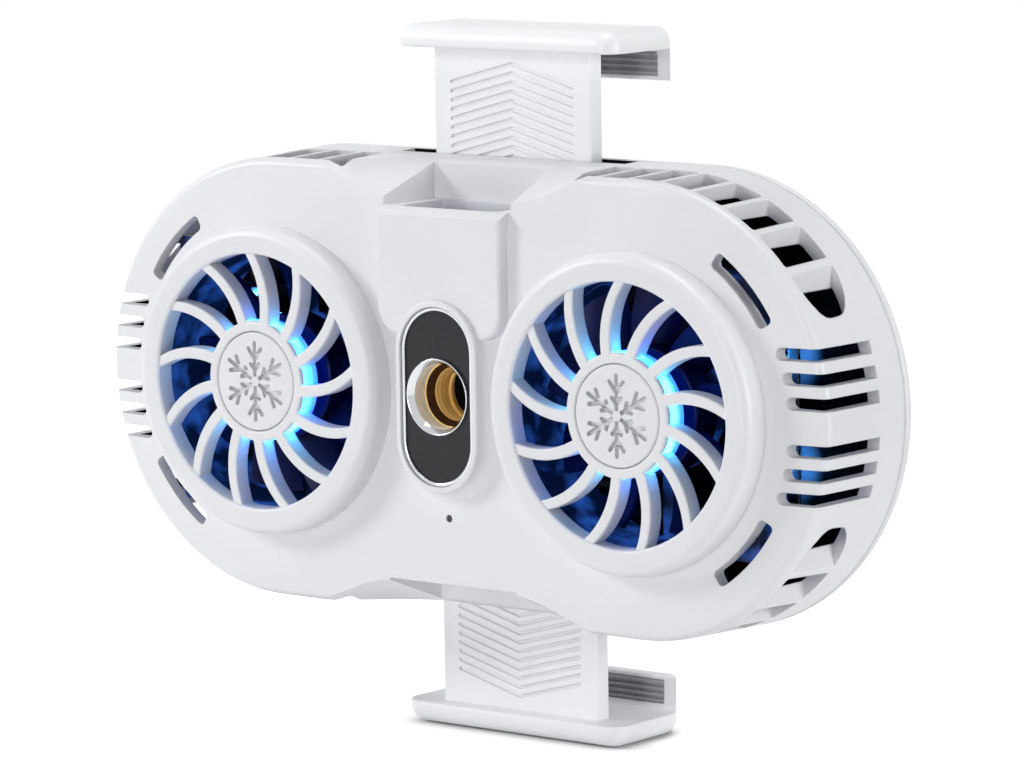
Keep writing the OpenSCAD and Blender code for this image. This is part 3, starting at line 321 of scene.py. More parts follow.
# %% [markdown]
# ## Shapes: moving, copying, joining
# Openings and bosses are cut and joined with the Boolean modifier: the result is read back as a
# bmesh and the helper objects go away, so a finished piece is one clean mesh. Two stand-in
# finishes keep the inside of a cut apart from the outside until the real ones are given.

# %% Moving, copying and Boolean helpers
DOWN, LEFT = (1, 1, -1), (-1, 1, 1)  # mirrors


def everything(bm):
    return bm.verts[:] + bm.edges[:] + bm.faces[:]


def swing(bm, degrees, axis="Y", about=(0, 0, 0)):
    bmesh.ops.rotate(bm, cent=about, matrix=Matrix.Rotation(radians(degrees), 3, axis),
                     verts=bm.verts)
    return bm


def flip(bm, mirror):
    bmesh.ops.scale(bm, vec=mirror, verts=bm.verts)
    bmesh.ops.recalc_face_normals(bm, faces=bm.faces)
    return bm


def copies(bm, count, about=(0, 0, 0)):
    bmesh.ops.spin(bm, geom=everything(bm), cent=about, axis=(0, 1, 0),
                   angle=2 * pi * (count - 1) / count, steps=count - 1, use_duplicate=True)
    return bm


def mark(bm, pick=lambda middle: True):
    for face in bm.faces:
        face.material_index = int(pick(face.calc_center_median()))
    return bm


def gather(*forms):
    whole = bmesh.new()
    for bm in forms:
        part = bpy.data.meshes.new("part")
        bm.to_mesh(part)
        bm.free()
        whole.from_mesh(part)
        bpy.data.meshes.remove(part)
    return whole


two_sided = [bpy.data.materials.new("outside"), bpy.data.materials.new("inside")]


def boolean(base, tool, how):
    pair = []
    for bm in (base, tool):
        form = bpy.data.meshes.new("form")
        bm.to_mesh(form)
        bm.free()
        for slot in two_sided:
            form.materials.append(slot)
        pair.append(bpy.data.objects.new("form", form))
        scene.collection.objects.link(pair[-1])
    work = pair[0].modifiers.new("work", "BOOLEAN")
    work.operation = how
    work.solver = "MANIFOLD"
    work.object = pair[1]
    result = bmesh.new()
    result.from_object(pair[0], bpy.context.evaluated_depsgraph_get())
    for form in pair:
        bpy.data.meshes.remove(form.data)
    return result


def cut(base, *tools):
    for tool in tools:
        base = boolean(base, tool, "DIFFERENCE")
    return base


trial = cut(box((0, 0, 0), (4, 4, 4)), mark(box((1, -1, 1), (3, 5, 3))))
print("inner faces of a trial cut:", sum(face.material_index for face in trial.faces))
trial.free()

# %% [markdown]
# ## From form to piece
# A finished piece is scaled to metres, shaded smooth up to a sharp angle, and given weighted normals
# so that flat faces stay flat beside their bevels. It then rides on its moving body, takes its
# finishes and stands in for its CAD node, which it hides. Many pieces come as a left and a right one.

# %% Finished pieces
def piece(name, bm, body, finishes, stands_for, sharp=32):
    bmesh.ops.scale(bm, vec=(MM, MM, MM), verts=bm.verts)
    mesh = bpy.data.meshes.new(name)
    bm.to_mesh(mesh)
    bm.free()
    mesh.shade_smooth()
    mesh.set_sharp_from_angle(angle=radians(sharp))
    for finish in finishes:
        mesh.materials.append(finish)
    obj = bpy.data.objects.new(name, mesh)
    scene.collection.objects.link(obj)
    flat = obj.modifiers.new("flat faces stay flat", "WEIGHTED_NORMAL")
    flat.keep_sharp = True
    flat.weight = 100
    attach(obj, body)
    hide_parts(*stands_for)
    mesh.calc_loop_triangles()
    print(name, "has", len(mesh.loop_triangles), "triangles")
    return obj


def left_and_right(make):
    return [("left", flip(make(), LEFT)), ("right", make())]


print("nodes in the CAD model:", len(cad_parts))

# %% [markdown]
# ## White ABS
# The housing and the arms are injection-moulded ABS with a fine spark-eroded grain, which gives a
# soft satin sheen without clear reflections. Moulded ABS also shows very slight tone changes where it
# cooled at different rates. The bevel node rounds the shading of the cut edges, as the mould's small
# edge radius does. The arms stand back behind the housing and catch less light, so they get a copy of
# the same white painted brighter; one recipe makes both whites.

# %% White ABS
GRAIN = 0.35  # mm; spark grain is nearer 0.1 mm, drawn larger so that it shows in the render


def moulded_white(name, dark, pale):
    finish, tree, skin = start_finish(name)
    grain = noise(tree, GRAIN, 2.0, Roughness=0.6)
    cooling = noise(tree, 18.0, 3.0)
    edge = add(tree, "Bevel", {"Radius": 0.25 * MM}, samples=4)
    grit = add(tree, "Bump", {"Height": grain, "Strength": 0.06, "Distance": 0.05 * MM,
                              "Normal": edge.outputs[0]})
    feed(tree, skin, {"Base Color": ramp(tree, cooling, dark, pale),
                      "Roughness": spread(tree, cooling, 0.36, 0.46),
                      "Normal": grit.outputs[0], "IOR": 1.53})
    return finish


white_abs = moulded_white("ABS moulded white", "E0E1E5", "E8E9EC")
# the arms' copy of the same white, painted brighter to stand in for light
white_abs_painted_brighter = moulded_white("ABS moulded white, painted brighter", "F0F1F4", "F7F8FA")
print("ABS grain", GRAIN, "mm")

# %% [markdown]
# The inside of the shell is the same white moulding, but its faces get an almost black finish as
# painted shade, so the windows read as dark openings with light ribs. The finish is rough, with a
# slight noise in its tone.

# %% Black painted shade inside the shell
SHADE_NOISE = 0.8  # mm
# an almost black finish that paints shade on inside faces
painted_shade_black, tree, skin = start_finish("Black painted shade, matt")
feed(tree, skin, {"Base Color": ramp(tree, noise(tree, SHADE_NOISE), "040405", "0B0B0D"),
                  "Roughness": 0.75, "Specular IOR Level": 0.05})
print("painted shade noise", SHADE_NOISE, "mm")

# %% [markdown]
# ## Front shell: outside and inside
# The shell is a stadium-shaped tray: its face slopes back from around the fans and bends into
# walls with a little draft. Its inside is a second stadium. Pockets, the phone-side saddle and the
# screw bosses are moulded into the tray, so those solids are taken out of the hollow before the
# hollow is taken out of the shell.

# %% Front shell body
FRONT, BEND, RIM, CEIL = -21.5, -20.4, -2.6, -18.9  # depths of face, bend, rim and inner face
AHEAD = -24  # cutting tools start here, in front of the face
shell = stadium([(10, FRONT), (23.4, FRONT), (32.8, BEND), (33.42, RIM), (10, RIM)], FX)
round_edges(shell, 1.0, lambda p: level(p, BEND), 5)
hollow = stadium(rect(10, CEIL, 31.2, RIM + 1), FX)


def saddle(sink, upper):
    form = prism([(-40.7, 9), (-13.5, 0), (13.5, 0), (40.7, 9)], "Y", -18, 26, [(3.5, (1, 2))], 10)
    swing(form, 22, "X")
    bmesh.ops.translate(form, vec=(0, FRONT, 28 - sink), verts=form.verts)
    return form if upper else flip(form, DOWN)


for upper, side in ((True, 1), (False, -1)):
    low, high = sorted((26.5 * side, 40 * side))
    hollow = cut(hollow, saddle(1.5, upper), box((-13.3, AHEAD, low), (13.3, -8.9, high)))
hollow = cut(hollow, box((-10.5, AHEAD, 22.5), (10.5, -9.5, 29)), turned(rect(0, AHEAD, 7.1, -13.6)))
# the hollow's faces take the second finish, the black painted shade
mark(hollow)
print("shell faces:", len(shell.faces), "hollow faces:", len(hollow.faces))

# %% [markdown]
# ## Front shell: raised panel and capsule
# Above the stand socket a flat panel leads up to the port, with two round corners below. The
# socket sits in an upright capsule whose sides sweep out into the face. Both are rounded while
# they are simple, then joined.

# %% Panel and capsule boss
CAPSULE = 6.55  # the centres of the capsule's round ends stand this far above and below the socket
PANEL_FACE, BOSS_FACE, BOSS_FOOT = -23.4, -24.2, -22.5  # the boss sweeps out from its foot
panel = prism([(-11.4, 28), (-11.4, 8.6), (11.4, 8.6), (11.4, 28)], "Y", PANEL_FACE, -21.0,
              [(4.0, (1, 2))], 8)
round_edges(panel, 0.6, lambda p: level(p, PANEL_FACE), 4)
boss = stadium([(2, BOSS_FACE), (7.5, BOSS_FACE), (7.65, BOSS_FOOT), (9.3, -21.45), (9.3, -21.0),
                (2, -21.0)], CAPSULE)
round_edges(boss, 0.3, lambda p: level(p, BOSS_FACE)
            and hypot(max(abs(p.x) - CAPSULE, 0), p.z) > 7, 3)
round_edges(boss, 0.8, lambda p: level(p, BOSS_FOOT), 4)
shell = boolean(boolean(shell, panel, "UNION"), swing(boss, 90), "UNION")
shell = cut(shell, hollow)
print("shell with panel and boss:", len(shell.faces), "faces")

# %% [markdown]
# ## Front shell: saddles, ports and socket
# What is left is cutting. In the middle these are the saddles and pockets above and below, the upper
# port's well, the mouths of both ports, the pinhole of the indicator light, the recess of the capsule
# and the bore of the stand socket, which gets the black painted shade like the inside.

# %% Openings in the middle
pocket = [(-10.8, -10.4), (10.8, -10.4), (11.8, FRONT), (11.8, -30), (-11.8, -30), (-11.8, FRONT)]
for upper, side, foot in ((True, 1, 27.1), (False, -1, 28)):
    low, high = sorted((foot * side, 46 * side))
    shell = cut(shell, saddle(0, upper), prism(pocket, "Z", low, high))
panel_slope = prism([(-21.4, 27.11), (-25, 27.11), (-25, 26), (PANEL_FACE, 26)], "X", -11.9, 11.9)
well = prism(rect(-9, -20.9, 9, -11.0), "Z", 24, 29, [(1.6, (0, 1)), (0.6, (2, 3))])
upper_mouth = prism(rect(-6.85, -17.25, 6.85, -10.95), "Z", 21, 25, [(0.5, ALL)])
lower_mouth = prism(rect(-4.75, -14.65, 4.75, -10.95), "Z", -30, -25, [(1.84, ALL)])
pinhole = turned(rect(0, AHEAD, 0.55, -18), 0, -18.1, 24)
recess = swing(stadium(rect(2, -26, 6.6, -22.7), CAPSULE), 90)
# the bore's faces take the black painted shade
bore = mark(turned(rect(0, AHEAD, 5.65, -14.5)))
shell = cut(shell, panel_slope, well, gather(upper_mouth, lower_mouth, pinhole), recess, bore)
print("shell with its middle openings:", len(shell.faces), "faces")

# %% [markdown]
# ## Front shell: fans, slots and windows
# At each end there are the fan opening, the slots that let the light out and a row of windows.
# The ribs of the windows are simply what stays between their cells. The slits that the arms slide
# through come last.

# %% Openings at the ends
RIB, RIB_STEP = 0.9, 5.45  # width and spacing of the windows' ribs
SLOT = 0.9  # half the height of a side slot


def arc_slot():
    bm = bmesh.new()
    section = rect(25.5, -23, 27.9, -17.9)
    run = chain(bm, [(FX, y, r) for r, y in section], True)
    swing(bm, 32, "Y", (FX, 0, 0))
    bmesh.ops.spin(bm, geom=run, cent=(FX, 0, 0), axis=(0, 1, 0), angle=radians(27), steps=16)
    bmesh.ops.holes_fill(bm, edges=[e for e in bm.edges if e.is_boundary])
    tidy(bm)
    bevel(bm, [e for e in bm.edges if abs(e.verts[0].co.y - e.verts[1].co.y) > 4
               and e.calc_face_angle() > 1], 1.1, 5)
    return bm


def side_slot(z):
    x = FX + (27.4 ** 2 - z ** 2) ** 0.5 - SLOT
    return prism(rect(x, z - SLOT, 72, z + SLOT), "Y", AHEAD, -8.3, [(0.89, (0, 3))], 5)


def window_cell(x0, x1, nose):
    rounds = [(3.9, (1, 2)), (0.4, (0, 3))] if nose else [(0.4, ALL)]
    return prism(rect(x0, -18.7, x1, -8.8), "Z", 11.7, 46, rounds, 6)


def end_openings():
    forms = [turned(rect(0, AHEAD, 21.1, -17), FX)]
    forms += [side_slot(sign * z) for z in (3.3, 6.7, 10.1) for sign in (1, -1)]
    forms += [arc_slot(), flip(arc_slot(), DOWN)]
    tips = [59.07 - RIB_STEP * k for k in range(7)]
    for x0, x1 in zip(tips + [21.5], [63.12] + [t - RIB for t in tips]):
        nose = x0 == tips[0]
        forms += [window_cell(x0, x1, nose), flip(window_cell(x0, x1, nose), DOWN)]
    return gather(*forms)


slits = gather(box((-20.8, -5.7, 24), (20.8, -1, 40)), box((-20.8, -5.7, -40), (20.8, -1, -24)))
shell = cut(shell, end_openings(), flip(end_openings(), LEFT), slits)
print("shell is closed:", all(e.is_manifold for e in shell.edges))
piece("front_shell_skin", shell, "housing", [white_abs, painted_shade_black], ["front_shell"])

# %% [markdown]
# ## Light rings: the glowing acrylic
# Behind each hub a milky acrylic ring carries the light of a row of LEDs. It glows cyan at the
# LEDs in front and a deeper blue between them and further back, which a noise and the depth give,
# and it throws that light on the spokes and into the fan.

# %% Milky acrylic
LED_GAP = 4.0  # mm from LED to LED
lit_acrylic, tree, skin = start_finish("Acrylic milky lit blue")
spot = add(tree, "TexCoord").outputs["Object"]
along = add(tree, "SeparateXYZ", {"Vector": spot}).outputs["Y"]
depth = spread(tree, along, 0.0, 1.0, -23.4 * MM, -22.2 * MM)
deeper = calc(tree, "SUBTRACT", noise(tree, LED_GAP, 1.0), calc(tree, "MULTIPLY", depth, 0.35))
feed(tree, skin, {"Emission Color": ramp(tree, deeper, "1066FF", "3AD2FF", 0.35, 0.65),
                  "Emission Strength": spread(tree, depth, 10.5, 2.6),
                  "Base Color": linear("DDEEFF"), "Roughness": 0.5, "IOR": 1.49})
print("LEDs stand", LED_GAP, "mm apart")

# %% [markdown]
# ## Fan grilles
# Each grille is one moulding: a ring with a well-rounded outer edge, a flat hub and thirteen curved
# spokes. A spoke starts as a straight bar with rounded front edges, is cut into short lengths across,
# and every vertex is then turned about the fan's axis by an angle that depends on its distance from
# it. Spin copies it thirteen times. The hub's side wall is white moulding like the rest, but it takes
# the glowing finish of the light ring behind it: a painted glow.

# %% Grilles
RING_FACE, HUB_FACE, SPOKE_BACK = -25.7, -25.3, -22.7
HUB_R, HUB_FLOOR = 9, -24.1  # the hub's radius and the floor of its round seat


def spokes():
    bm = box((8.3, HUB_FACE, -0.9), (19.6, SPOKE_BACK, 0.9))
    round_edges(bm, 0.28, lambda p: level(p, HUB_FACE) and 8 < p.x < 20, 3)
    for k in range(1, 14):
        bmesh.ops.bisect_plane(bm, geom=everything(bm), dist=0.0005,
                               plane_co=(8.3 + k * 11.3 / 14, 0, 0), plane_no=(1, 0, 0))
    for v in bm.verts:
        r, across = v.co.x, v.co.z
        reach = min(max((r - 8.5) / 11, 0), 1)
        angle = radians(15 * (1 - reach ** 1.5) + 4) + across / r
        v.co.x, v.co.z = FX + r * cos(angle), r * sin(angle)
    return tidy(copies(bm, 13, (FX, 0, 0)))


def far(p):
    return hypot(p.x - FX, p.z)


def grille():
    ring = turned([(19, RING_FACE), (23, RING_FACE), (23, FRONT), (21, FRONT), (21, -22.6),
                   (19, -22.6)], FX, 0, 128, True)
    round_edges(ring, 1.6, lambda p: level(p, RING_FACE) and far(p) > 22.9, 7)
    round_edges(ring, 0.5, lambda p: level(p, RING_FACE) and far(p) < 19.1, 4)
    hub = turned([(0, HUB_FLOOR), (7.47, HUB_FLOOR), (7.47, HUB_FACE), (HUB_R, HUB_FACE),
                  (HUB_R, -24.6), (HUB_R, SPOKE_BACK), (0, SPOKE_BACK)], FX)
    round_edges(hub, 0.4, lambda p: level(p, HUB_FACE) and far(p) > 8.9, 4)
    round_edges(hub, 0.3, lambda p: level(p, HUB_FACE) and far(p) < 7.5, 3)
    whole = boolean(boolean(ring, spokes(), "UNION"), hub, "UNION")
    # the hub's side wall takes the second finish, the glowing acrylic: a painted glow on the white
    # moulding
    return mark(whole, lambda m: abs(far(m) - HUB_R) < 0.05 and -24.65 < m.y < -22.75)


for name, form in left_and_right(grille):
    piece("grille_" + name, form, "housing", [white_abs, lit_acrylic],
          ["fan_grille_" + name])

# %% [markdown]
# ## Hub badges
# A flat disc sits in each hub, with a six-armed frost figure sunk into it: a common sign for
# cooling. Bars for the stems and the twigs are copied round by spin and cut out of the disc, one
# set after the other, because a Boolean tool must not overlap itself.

# %% Hub badges
BADGE_FACE, BAR = -25.25, 0.62  # the disc's face and the width of a bar


def frost_bars(start, length, lean):
    bar = prism(rect(-BAR / 2, 0, BAR / 2, length), "Y", -26, -24.35, [(BAR * 0.48, (2, 3))], 3)
    swing(bar, lean)
    bmesh.ops.translate(bar, vec=(0, 0, start), verts=bar.verts)
    copies(bar, 6)
    bmesh.ops.translate(bar, vec=(FX, 0, 0), verts=bar.verts)
    bmesh.ops.recalc_face_normals(bar, faces=bar.faces)
    return bar


def badge():
    disc = turned(rect(0, BADGE_FACE, 7.35, HUB_FLOOR), FX)
    round_edges(disc, 0.3, lambda p: level(p, BADGE_FACE) and far(p) > 7, 3)
    # start and length of the bars in mm, and their lean in degrees
    bars = ((0.75, 5.3, 0), (1.7, 1.5, 42), (1.7, 1.5, -42), (3.3, 2.3, 38), (3.3, 2.3, -38))
    return cut(disc, *[frost_bars(*bar) for bar in bars])


for name, form in left_and_right(badge):
    piece("badge_" + name, form, "housing", [white_abs], ["hub_badge_" + name])

# %% [markdown]
# ## Light rings
# The ring itself is a short tube behind the hub. It is turned from its section, and the edge that
# can be seen between the spokes is rounded.

# %% Light rings
def light_ring():
    ring = turned(rect(6.2, SPOKE_BACK, HUB_R, -21.3), FX, 0, 96, True)
    return round_edges(ring, 0.3, lambda p: far(p) > 8.9 and p.y > -21.4, 3)


for name, form in left_and_right(light_ring):
    piece("light_ring_skin_" + name, form, "housing", [lit_acrylic],
          ["light_ring_" + name])

# %% [markdown]
# The LEDs also shine through each fan on the back cover, which shows as a blue glow through the
# slots at the ends. Small blue spot lamps stand in for that spill, so the glow falls on real
# surfaces and nothing is painted on.

# %% LED spill behind the end slots
for side in (1, -1):
    for z in (7.5, -8.5):
        place = Vector((side * 53, -10.5, z)) * MM
        spill = lamp("led spill", "SPOT", place, (-side * 6.5, 8, 0), 0.5)
        spill.color = linear("4AA0FF")[:3]
        spill.spot_size = radians(80)
        spill.spot_blend = 1.0
        spill.shadow_soft_size = 0.5 * MM

# %% [markdown]
# ## Impellers
# A fan wheel is a cup with nine blades. A blade could be cut from a block, but a bent sheet is
# closer to the real one: a grid is given the pitch, the camber and the sweep of a blade, solidify
# gives it its thickness, and spin copies it. The plastic is a tinted dark blue PBT that takes the
# colour of the light.

# %% Impellers
blue_pbt, tree, skin = start_finish("PBT moulded dark blue")
flow = noise(tree, 3.0, 2.0)
feed(tree, skin, {"Base Color": ramp(tree, flow, "030824", "07164E"),
                  "Roughness": spread(tree, flow, 0.3, 0.42), "Specular IOR Level": 0.15})
CUP_FACE, CUP_RIM = -18.95, -14.1


def blades():
    bm = bmesh.new()
    bmesh.ops.create_grid(bm, x_segments=9, y_segments=7, size=1.0)
    for v in bm.verts:
        span, chord = (v.co.x + 1) / 2, v.co.y
        r = 9.1 + 8.9 * span
        pitch = radians(44 - 14 * span)
        length = 3.3 + 0.8 * span
        lean = chord * length * cos(pitch) + 0.7 * (1 - chord ** 2) + 2.2 * span ** 2
        v.co = (FX + r * sin(lean / r), -16.0 + chord * length * sin(pitch), r * cos(lean / r))
    bmesh.ops.recalc_face_normals(bm, faces=bm.faces)
    bmesh.ops.solidify(bm, geom=bm.faces[:], thickness=0.7)
    return copies(tidy(bm), 9, (FX, 0, 0))


def wheel():
    cup = turned([(0, CUP_FACE), (9.4, CUP_FACE), (9.4, CUP_RIM), (8.55, CUP_RIM), (8.55, -18.1),
                  (0, -18.1)], FX)
    round_edges(cup, 0.5, lambda p: level(p, CUP_FACE) and far(p) > 9, 3)
    return tidy(gather(cup, blades()))


for name, form in left_and_right(wheel):
    piece("impeller_skin_" + name, form, name + "_rotor", [blue_pbt],
          ["impeller_" + name])

# %% [markdown]
# ## Capsule: trim, black plate and stand socket
# The capsule holds a thin chrome line, a gloss black plate and a chrome ring around a brass thread
# insert. Chrome is a mirror with a faint haze; the ring's inner wall is a satin nickel. The plate is
# polished acrylic with fine wiping marks. Brass is turned, so its marks run round the bore, and its
# lead-in is painted dark brown as shade.

# %% Chrome, nickel, black acrylic and brass
def plating(name, code, low, high, size, detail, stretch=None):
    finish, tree, skin = start_finish(name)
    blur = spread(tree, noise(tree, size, detail, stretch), low, high)
    feed(tree, skin, {"Base Color": linear(code), "Roughness": blur, "Metallic": 1.0})
    return finish


chrome = plating("Chrome plating bright", "C9CBCF", 0.06, 0.14, 1.5, 4.0)
satin = plating("Nickel plating satin", "F4F0E6", 0.66, 0.78, 0.8, 3.0)

gloss_black, tree, skin = start_finish("Acrylic polished black")
wiping = noise(tree, 0.6, 3.0, (1.0, 1.0, 0.15))
feed(tree, skin, {"Base Color": ramp(tree, wiping, "131319", "1D1C25"), "IOR": 1.49,
                  "Roughness": spread(tree, wiping, 0.10, 0.2), "Specular IOR Level": 0.3})

brass, tree, skin = start_finish("Brass turned")
marks = add(tree, "TexWave", {"Vector": add(tree, "TexCoord").outputs["Object"],
                              "Scale": per_mm(3.0), "Distortion": 1.5, "Detail": 2.0},
            wave_type="BANDS", bands_direction="Y").outputs["Fac"]
feed(tree, skin, {"Base Color": ramp(tree, marks, "EBC981", "FBE3A8"),
                  "Roughness": spread(tree, marks, 0.7, 0.8), "Metallic": 1.0})

# dark brown painted shade for the lead-in of the insert
painted_shade_brown, tree, skin = start_finish("Brass lead-in, painted shade brown")
feed(tree, skin, {"Base Color": ramp(tree, noise(tree, 0.9, 4.0), "1C0E06", "4A2A0E"),
                  "Roughness": 0.6, "Specular IOR Level": 0.2})
print("finishes so far:", len(bpy.data.materials))

# %% [markdown]
# The trim is a small closed section run round a stadium, the way a bent wire would lie. The plate
# is cut for the ring, whose inner edge is countersunk so that it catches the light.

# %% Trim, plate and ring
trim = stadium(rect(6.0, -23.9, 6.6, -22.7), CAPSULE, 32, True)
round_edges(trim, 0.18, lambda p: p.y < -23.8, 3)
piece("capsule_trim_line", swing(trim, 90), "housing", [chrome], ["capsule_trim"])

plate = swing(stadium(rect(2, -23.5, 6.0, -22.7), CAPSULE, 32), 90)
plate = cut(plate, turned(rect(0, -25, 5.6, -22)))
piece("capsule_face", plate, "housing", [gloss_black], ["capsule_plate"])

ring = turned([(4.8, -20.6), (4.8, -23.1), (5.42, -24.0), (5.6, -24.0), (5.6, -20.6)], 0, 0, 96, True)
round_edges(ring, 0.05, lambda p: p.y < -23.9, 2)
mark(ring, lambda m: hypot(m.x, m.z) < 4.805)
piece("socket_ring_skin", ring, "housing", [chrome, satin], ["socket_ring"])

# %% [markdown]
# The stand screws into a brass insert. Its thread could be a bump in the finish, but one looks
# straight into the bore, so it is a real helix: a ridge section is spun with a shift along the axis
# on each step, and joined to the bush. A cone cut from the front makes the lead-in.

# %% Threaded insert
PITCH = 1.5875  # mm, 16 threads to the inch
TURNS, STEPS = 0.85, 60  # how far the ridge runs round, and in how many steps
MINOR_R = 3.97  # inner radius of the thread
bush = turned([(4.67, -20.6), (5.5, -20.6), (5.5, -14.6), (4.25, -14.6), (4.25, -17.0),
               (MINOR_R, -17.2), (MINOR_R, -20.0)], 0, 0, 96, True)
ridge = bmesh.new()
section = ((4.4, 0.0), (MINOR_R, 0.5), (MINOR_R, 0.9), (4.4, 1.4))
run = chain(ridge, [(0, -17.4 + y, r) for r, y in section], True)
bmesh.ops.spin(ridge, geom=run, cent=(0, 0, 0), axis=(0, 1, 0), angle=2 * pi * TURNS, steps=STEPS,
               dvec=(0, PITCH * TURNS / STEPS, 0))
bmesh.ops.holes_fill(ridge, edges=[e for e in ridge.edges if e.is_boundary])
lead_in = turned([(0, -22), (4.9, -22), (4.67, -20.6), (3.9, -19.3), (0, -19.3)])
insert = cut(boolean(bush, tidy(ridge), "UNION"), lead_in)
# the lead-in's faces take the dark brown painted shade
mark(insert, lambda m: m.y < -19.2 and hypot(m.x, m.z) < 4.9)
piece("stand_insert_thread", insert, "housing", [brass, painted_shade_brown], ["stand_insert"])

# %% [markdown]
# ## Clamp arms: rack and chevrons
# The flat arm carries a rack inside the housing, which meshes with the pinion there, and fine
# chevron lines outside. The rack's teeth are points of the arm's own outline. The lines are thin
# bent prisms that are cut into its front.

# %% Rack and chevron lines
TOOTH = pi * 0.7  # pitch of the rack
RACK_X = 5.0  # root line of the rack's teeth
CHEVRON_X, CHEVRON_STEP = 11.4, 1.35  # half the width of a chevron, and the lines' spacing


def rack():
    tooth = ((0, -0.84), (1.4, -0.19), (1.4, 0.19), (0, 0.84))  # height, place from its middle
    return [(RACK_X - h, (i + 0.5) * TOOTH + place) for i in range(-1, 9) for h, place in tooth]


def chevrons():
    drop = CHEVRON_X * tan(radians(15))
    lines = []
    for k in (CHEVRON_STEP * i for i in range(11)):
        top, foot = 47.2 - k, 46.75 - k
        outline = [(0, top), (CHEVRON_X, top - drop), (CHEVRON_X, foot - drop), (0, foot),
                   (-CHEVRON_X, foot - drop), (-CHEVRON_X, top - drop)]
        lines.append(prism(outline, "Y", -7, -5.2))
    return gather(*lines)


print("points on the rack:", len(rack()))

# %% [markdown]
# ## Clamp arms: bar and jaw
# Both arms are one moulding, turned half round for the lower side. The arm ends in a jaw: a plate
# with a big outer radius and a lip that hooks over the phone. The jaw's section is a prism, and its
# plan corners come from a rounded block it is kept inside.

# %% Arms
ARM_X, ARM_TOP = 14.5, 51
ARM_LOW = 21.0  # lower edge of the flat arm, clear of the other arm when the clamp is closed
JAW_X, JAW_TOP, JAW_FRONT, JAW_BACK = 20.2, 52.4, -8.2, 10.2
LIP_FACE, LIP_LOW = 8.0, 44.2  # the lip's side towards the phone, and its lower edge
PAD_X, PAD_LOW, PAD_HIGH, PAD_BACK = 16.6, 44.85, 48.45, 8.8


def arm():
    outline = [(-ARM_X, ARM_TOP), (-ARM_X, ARM_LOW), (-8.4, ARM_LOW), (-8.4, 32.1), (-3.2, 32.1),
               (-3.2, ARM_LOW), (RACK_X, ARM_LOW)] + rack()[::-1]
    outline += [(RACK_X, -3.5), (8.0, -3.5), (8.0, ARM_LOW), (ARM_X, ARM_LOW), (ARM_X, ARM_TOP)]
    bar = prism(outline, "Y", -5.5, -2.7)
    round_edges(bar, 0.3, lambda p: abs(abs(p.x) - ARM_X) < 0.01 and p.z > 13, 3)
    jaw = prism([(JAW_FRONT, 49.1), (LIP_FACE, 49.1), (LIP_FACE, LIP_LOW), (JAW_BACK, LIP_LOW),
                 (JAW_BACK, JAW_TOP), (JAW_FRONT, JAW_TOP)], "X", -JAW_X, JAW_X,
                [(5.0, (4,)), (1.2, (5,)), (1.5, (1,)), (0.5, (2, 3)), (0.5, (0,))], 8)
    block = prism(rect(-JAW_X, JAW_FRONT, JAW_X, JAW_BACK), "Z", 40, JAW_TOP,
                  [(3.0, (0, 1)), (6.0, (2, 3))], 10)
    round_edges(block, 2.3, lambda p: p.z > 52.3, 6)
    jaw = soften(boolean(jaw, block, "INTERSECT"), 0.35, 50, 3)
    seat = box((-PAD_X, 7.0, PAD_LOW), (PAD_X, PAD_BACK, PAD_HIGH))
    return cut(boolean(jaw, bar, "UNION"), seat, chevrons())


piece("upper_arm_skin", arm(), "upper_clamp", [white_abs_painted_brighter], ["upper_arm"])
piece("lower_arm_skin", swing(arm(), 180), "lower_clamp", [white_abs_painted_brighter],
      ["lower_arm"])

# %% [markdown]
# ## Grip pads
# A grey rubber strip sits in each lip, with four soft ribs that bear on the phone. The strip is a
# prism of its own section, and a bevel makes the ribs soft. Moulded rubber is matt, with a slight
# bloom.

# %% Grip pads
rubber, tree, skin = start_finish("Silicone rubber moulded grey")
bloom = noise(tree, 1.2, 4.0)
dust = add(tree, "Bump", {"Height": bloom, "Strength": 0.15, "Distance": 0.05 * MM})
feed(tree, skin, {"Base Color": ramp(tree, bloom, "8E8F93", "A3A4A8"), "Normal": dust.outputs[0],
                  "Roughness": 0.68, "IOR": 1.41})


def grip():
    ribs = []
    for i in range(4):
        low = PAD_LOW + 0.225 + 0.9 * i
        ribs += [(LIP_FACE, low), (7.6, low), (7.6, low + 0.45), (LIP_FACE, low + 0.45)]
    section = [(PAD_BACK, PAD_LOW), (LIP_FACE, PAD_LOW)] + ribs
    section += [(LIP_FACE, PAD_HIGH), (PAD_BACK, PAD_HIGH)]
    return round_edges(prism(section, "X", -PAD_X, PAD_X), 0.12, lambda p: p.y < 7.7, 3)


piece("upper_grip", grip(), "upper_clamp", [rubber], ["upper_grip_pad"])
piece("lower_grip", swing(grip(), 180), "lower_clamp", [rubber], ["lower_grip_pad"])

# %% [markdown]
# ## Ports: steel, nylon and gold
# Both sockets are folded from steel sheet, which shows a fine rolled grain. Their tongues are
# nylon, blue above and black below, with gold-plated contacts. One recipe makes every plain
# moulding: a cloud of two tones that also moves the gloss a little.

# %% Steel and port plastics
steel = plating("Steel rolled nickel-plated", "B9BBBE", 0.22, 0.4, 0.25, 2.0, (1.0, 1.0, 0.08))


def moulding(name, dark, pale, rough, grain, **more):
    finish, tree, skin = start_finish(name)
    cloud = noise(tree, grain, 3.0)
    feed(tree, skin, {"Base Color": ramp(tree, cloud, dark, pale),
                      "Roughness": spread(tree, cloud, rough - 0.06, rough + 0.06), **more})
    return finish


def metal(name, dark, pale, rough, grain):
    return moulding(name, dark, pale, rough, grain, Metallic=1.0)


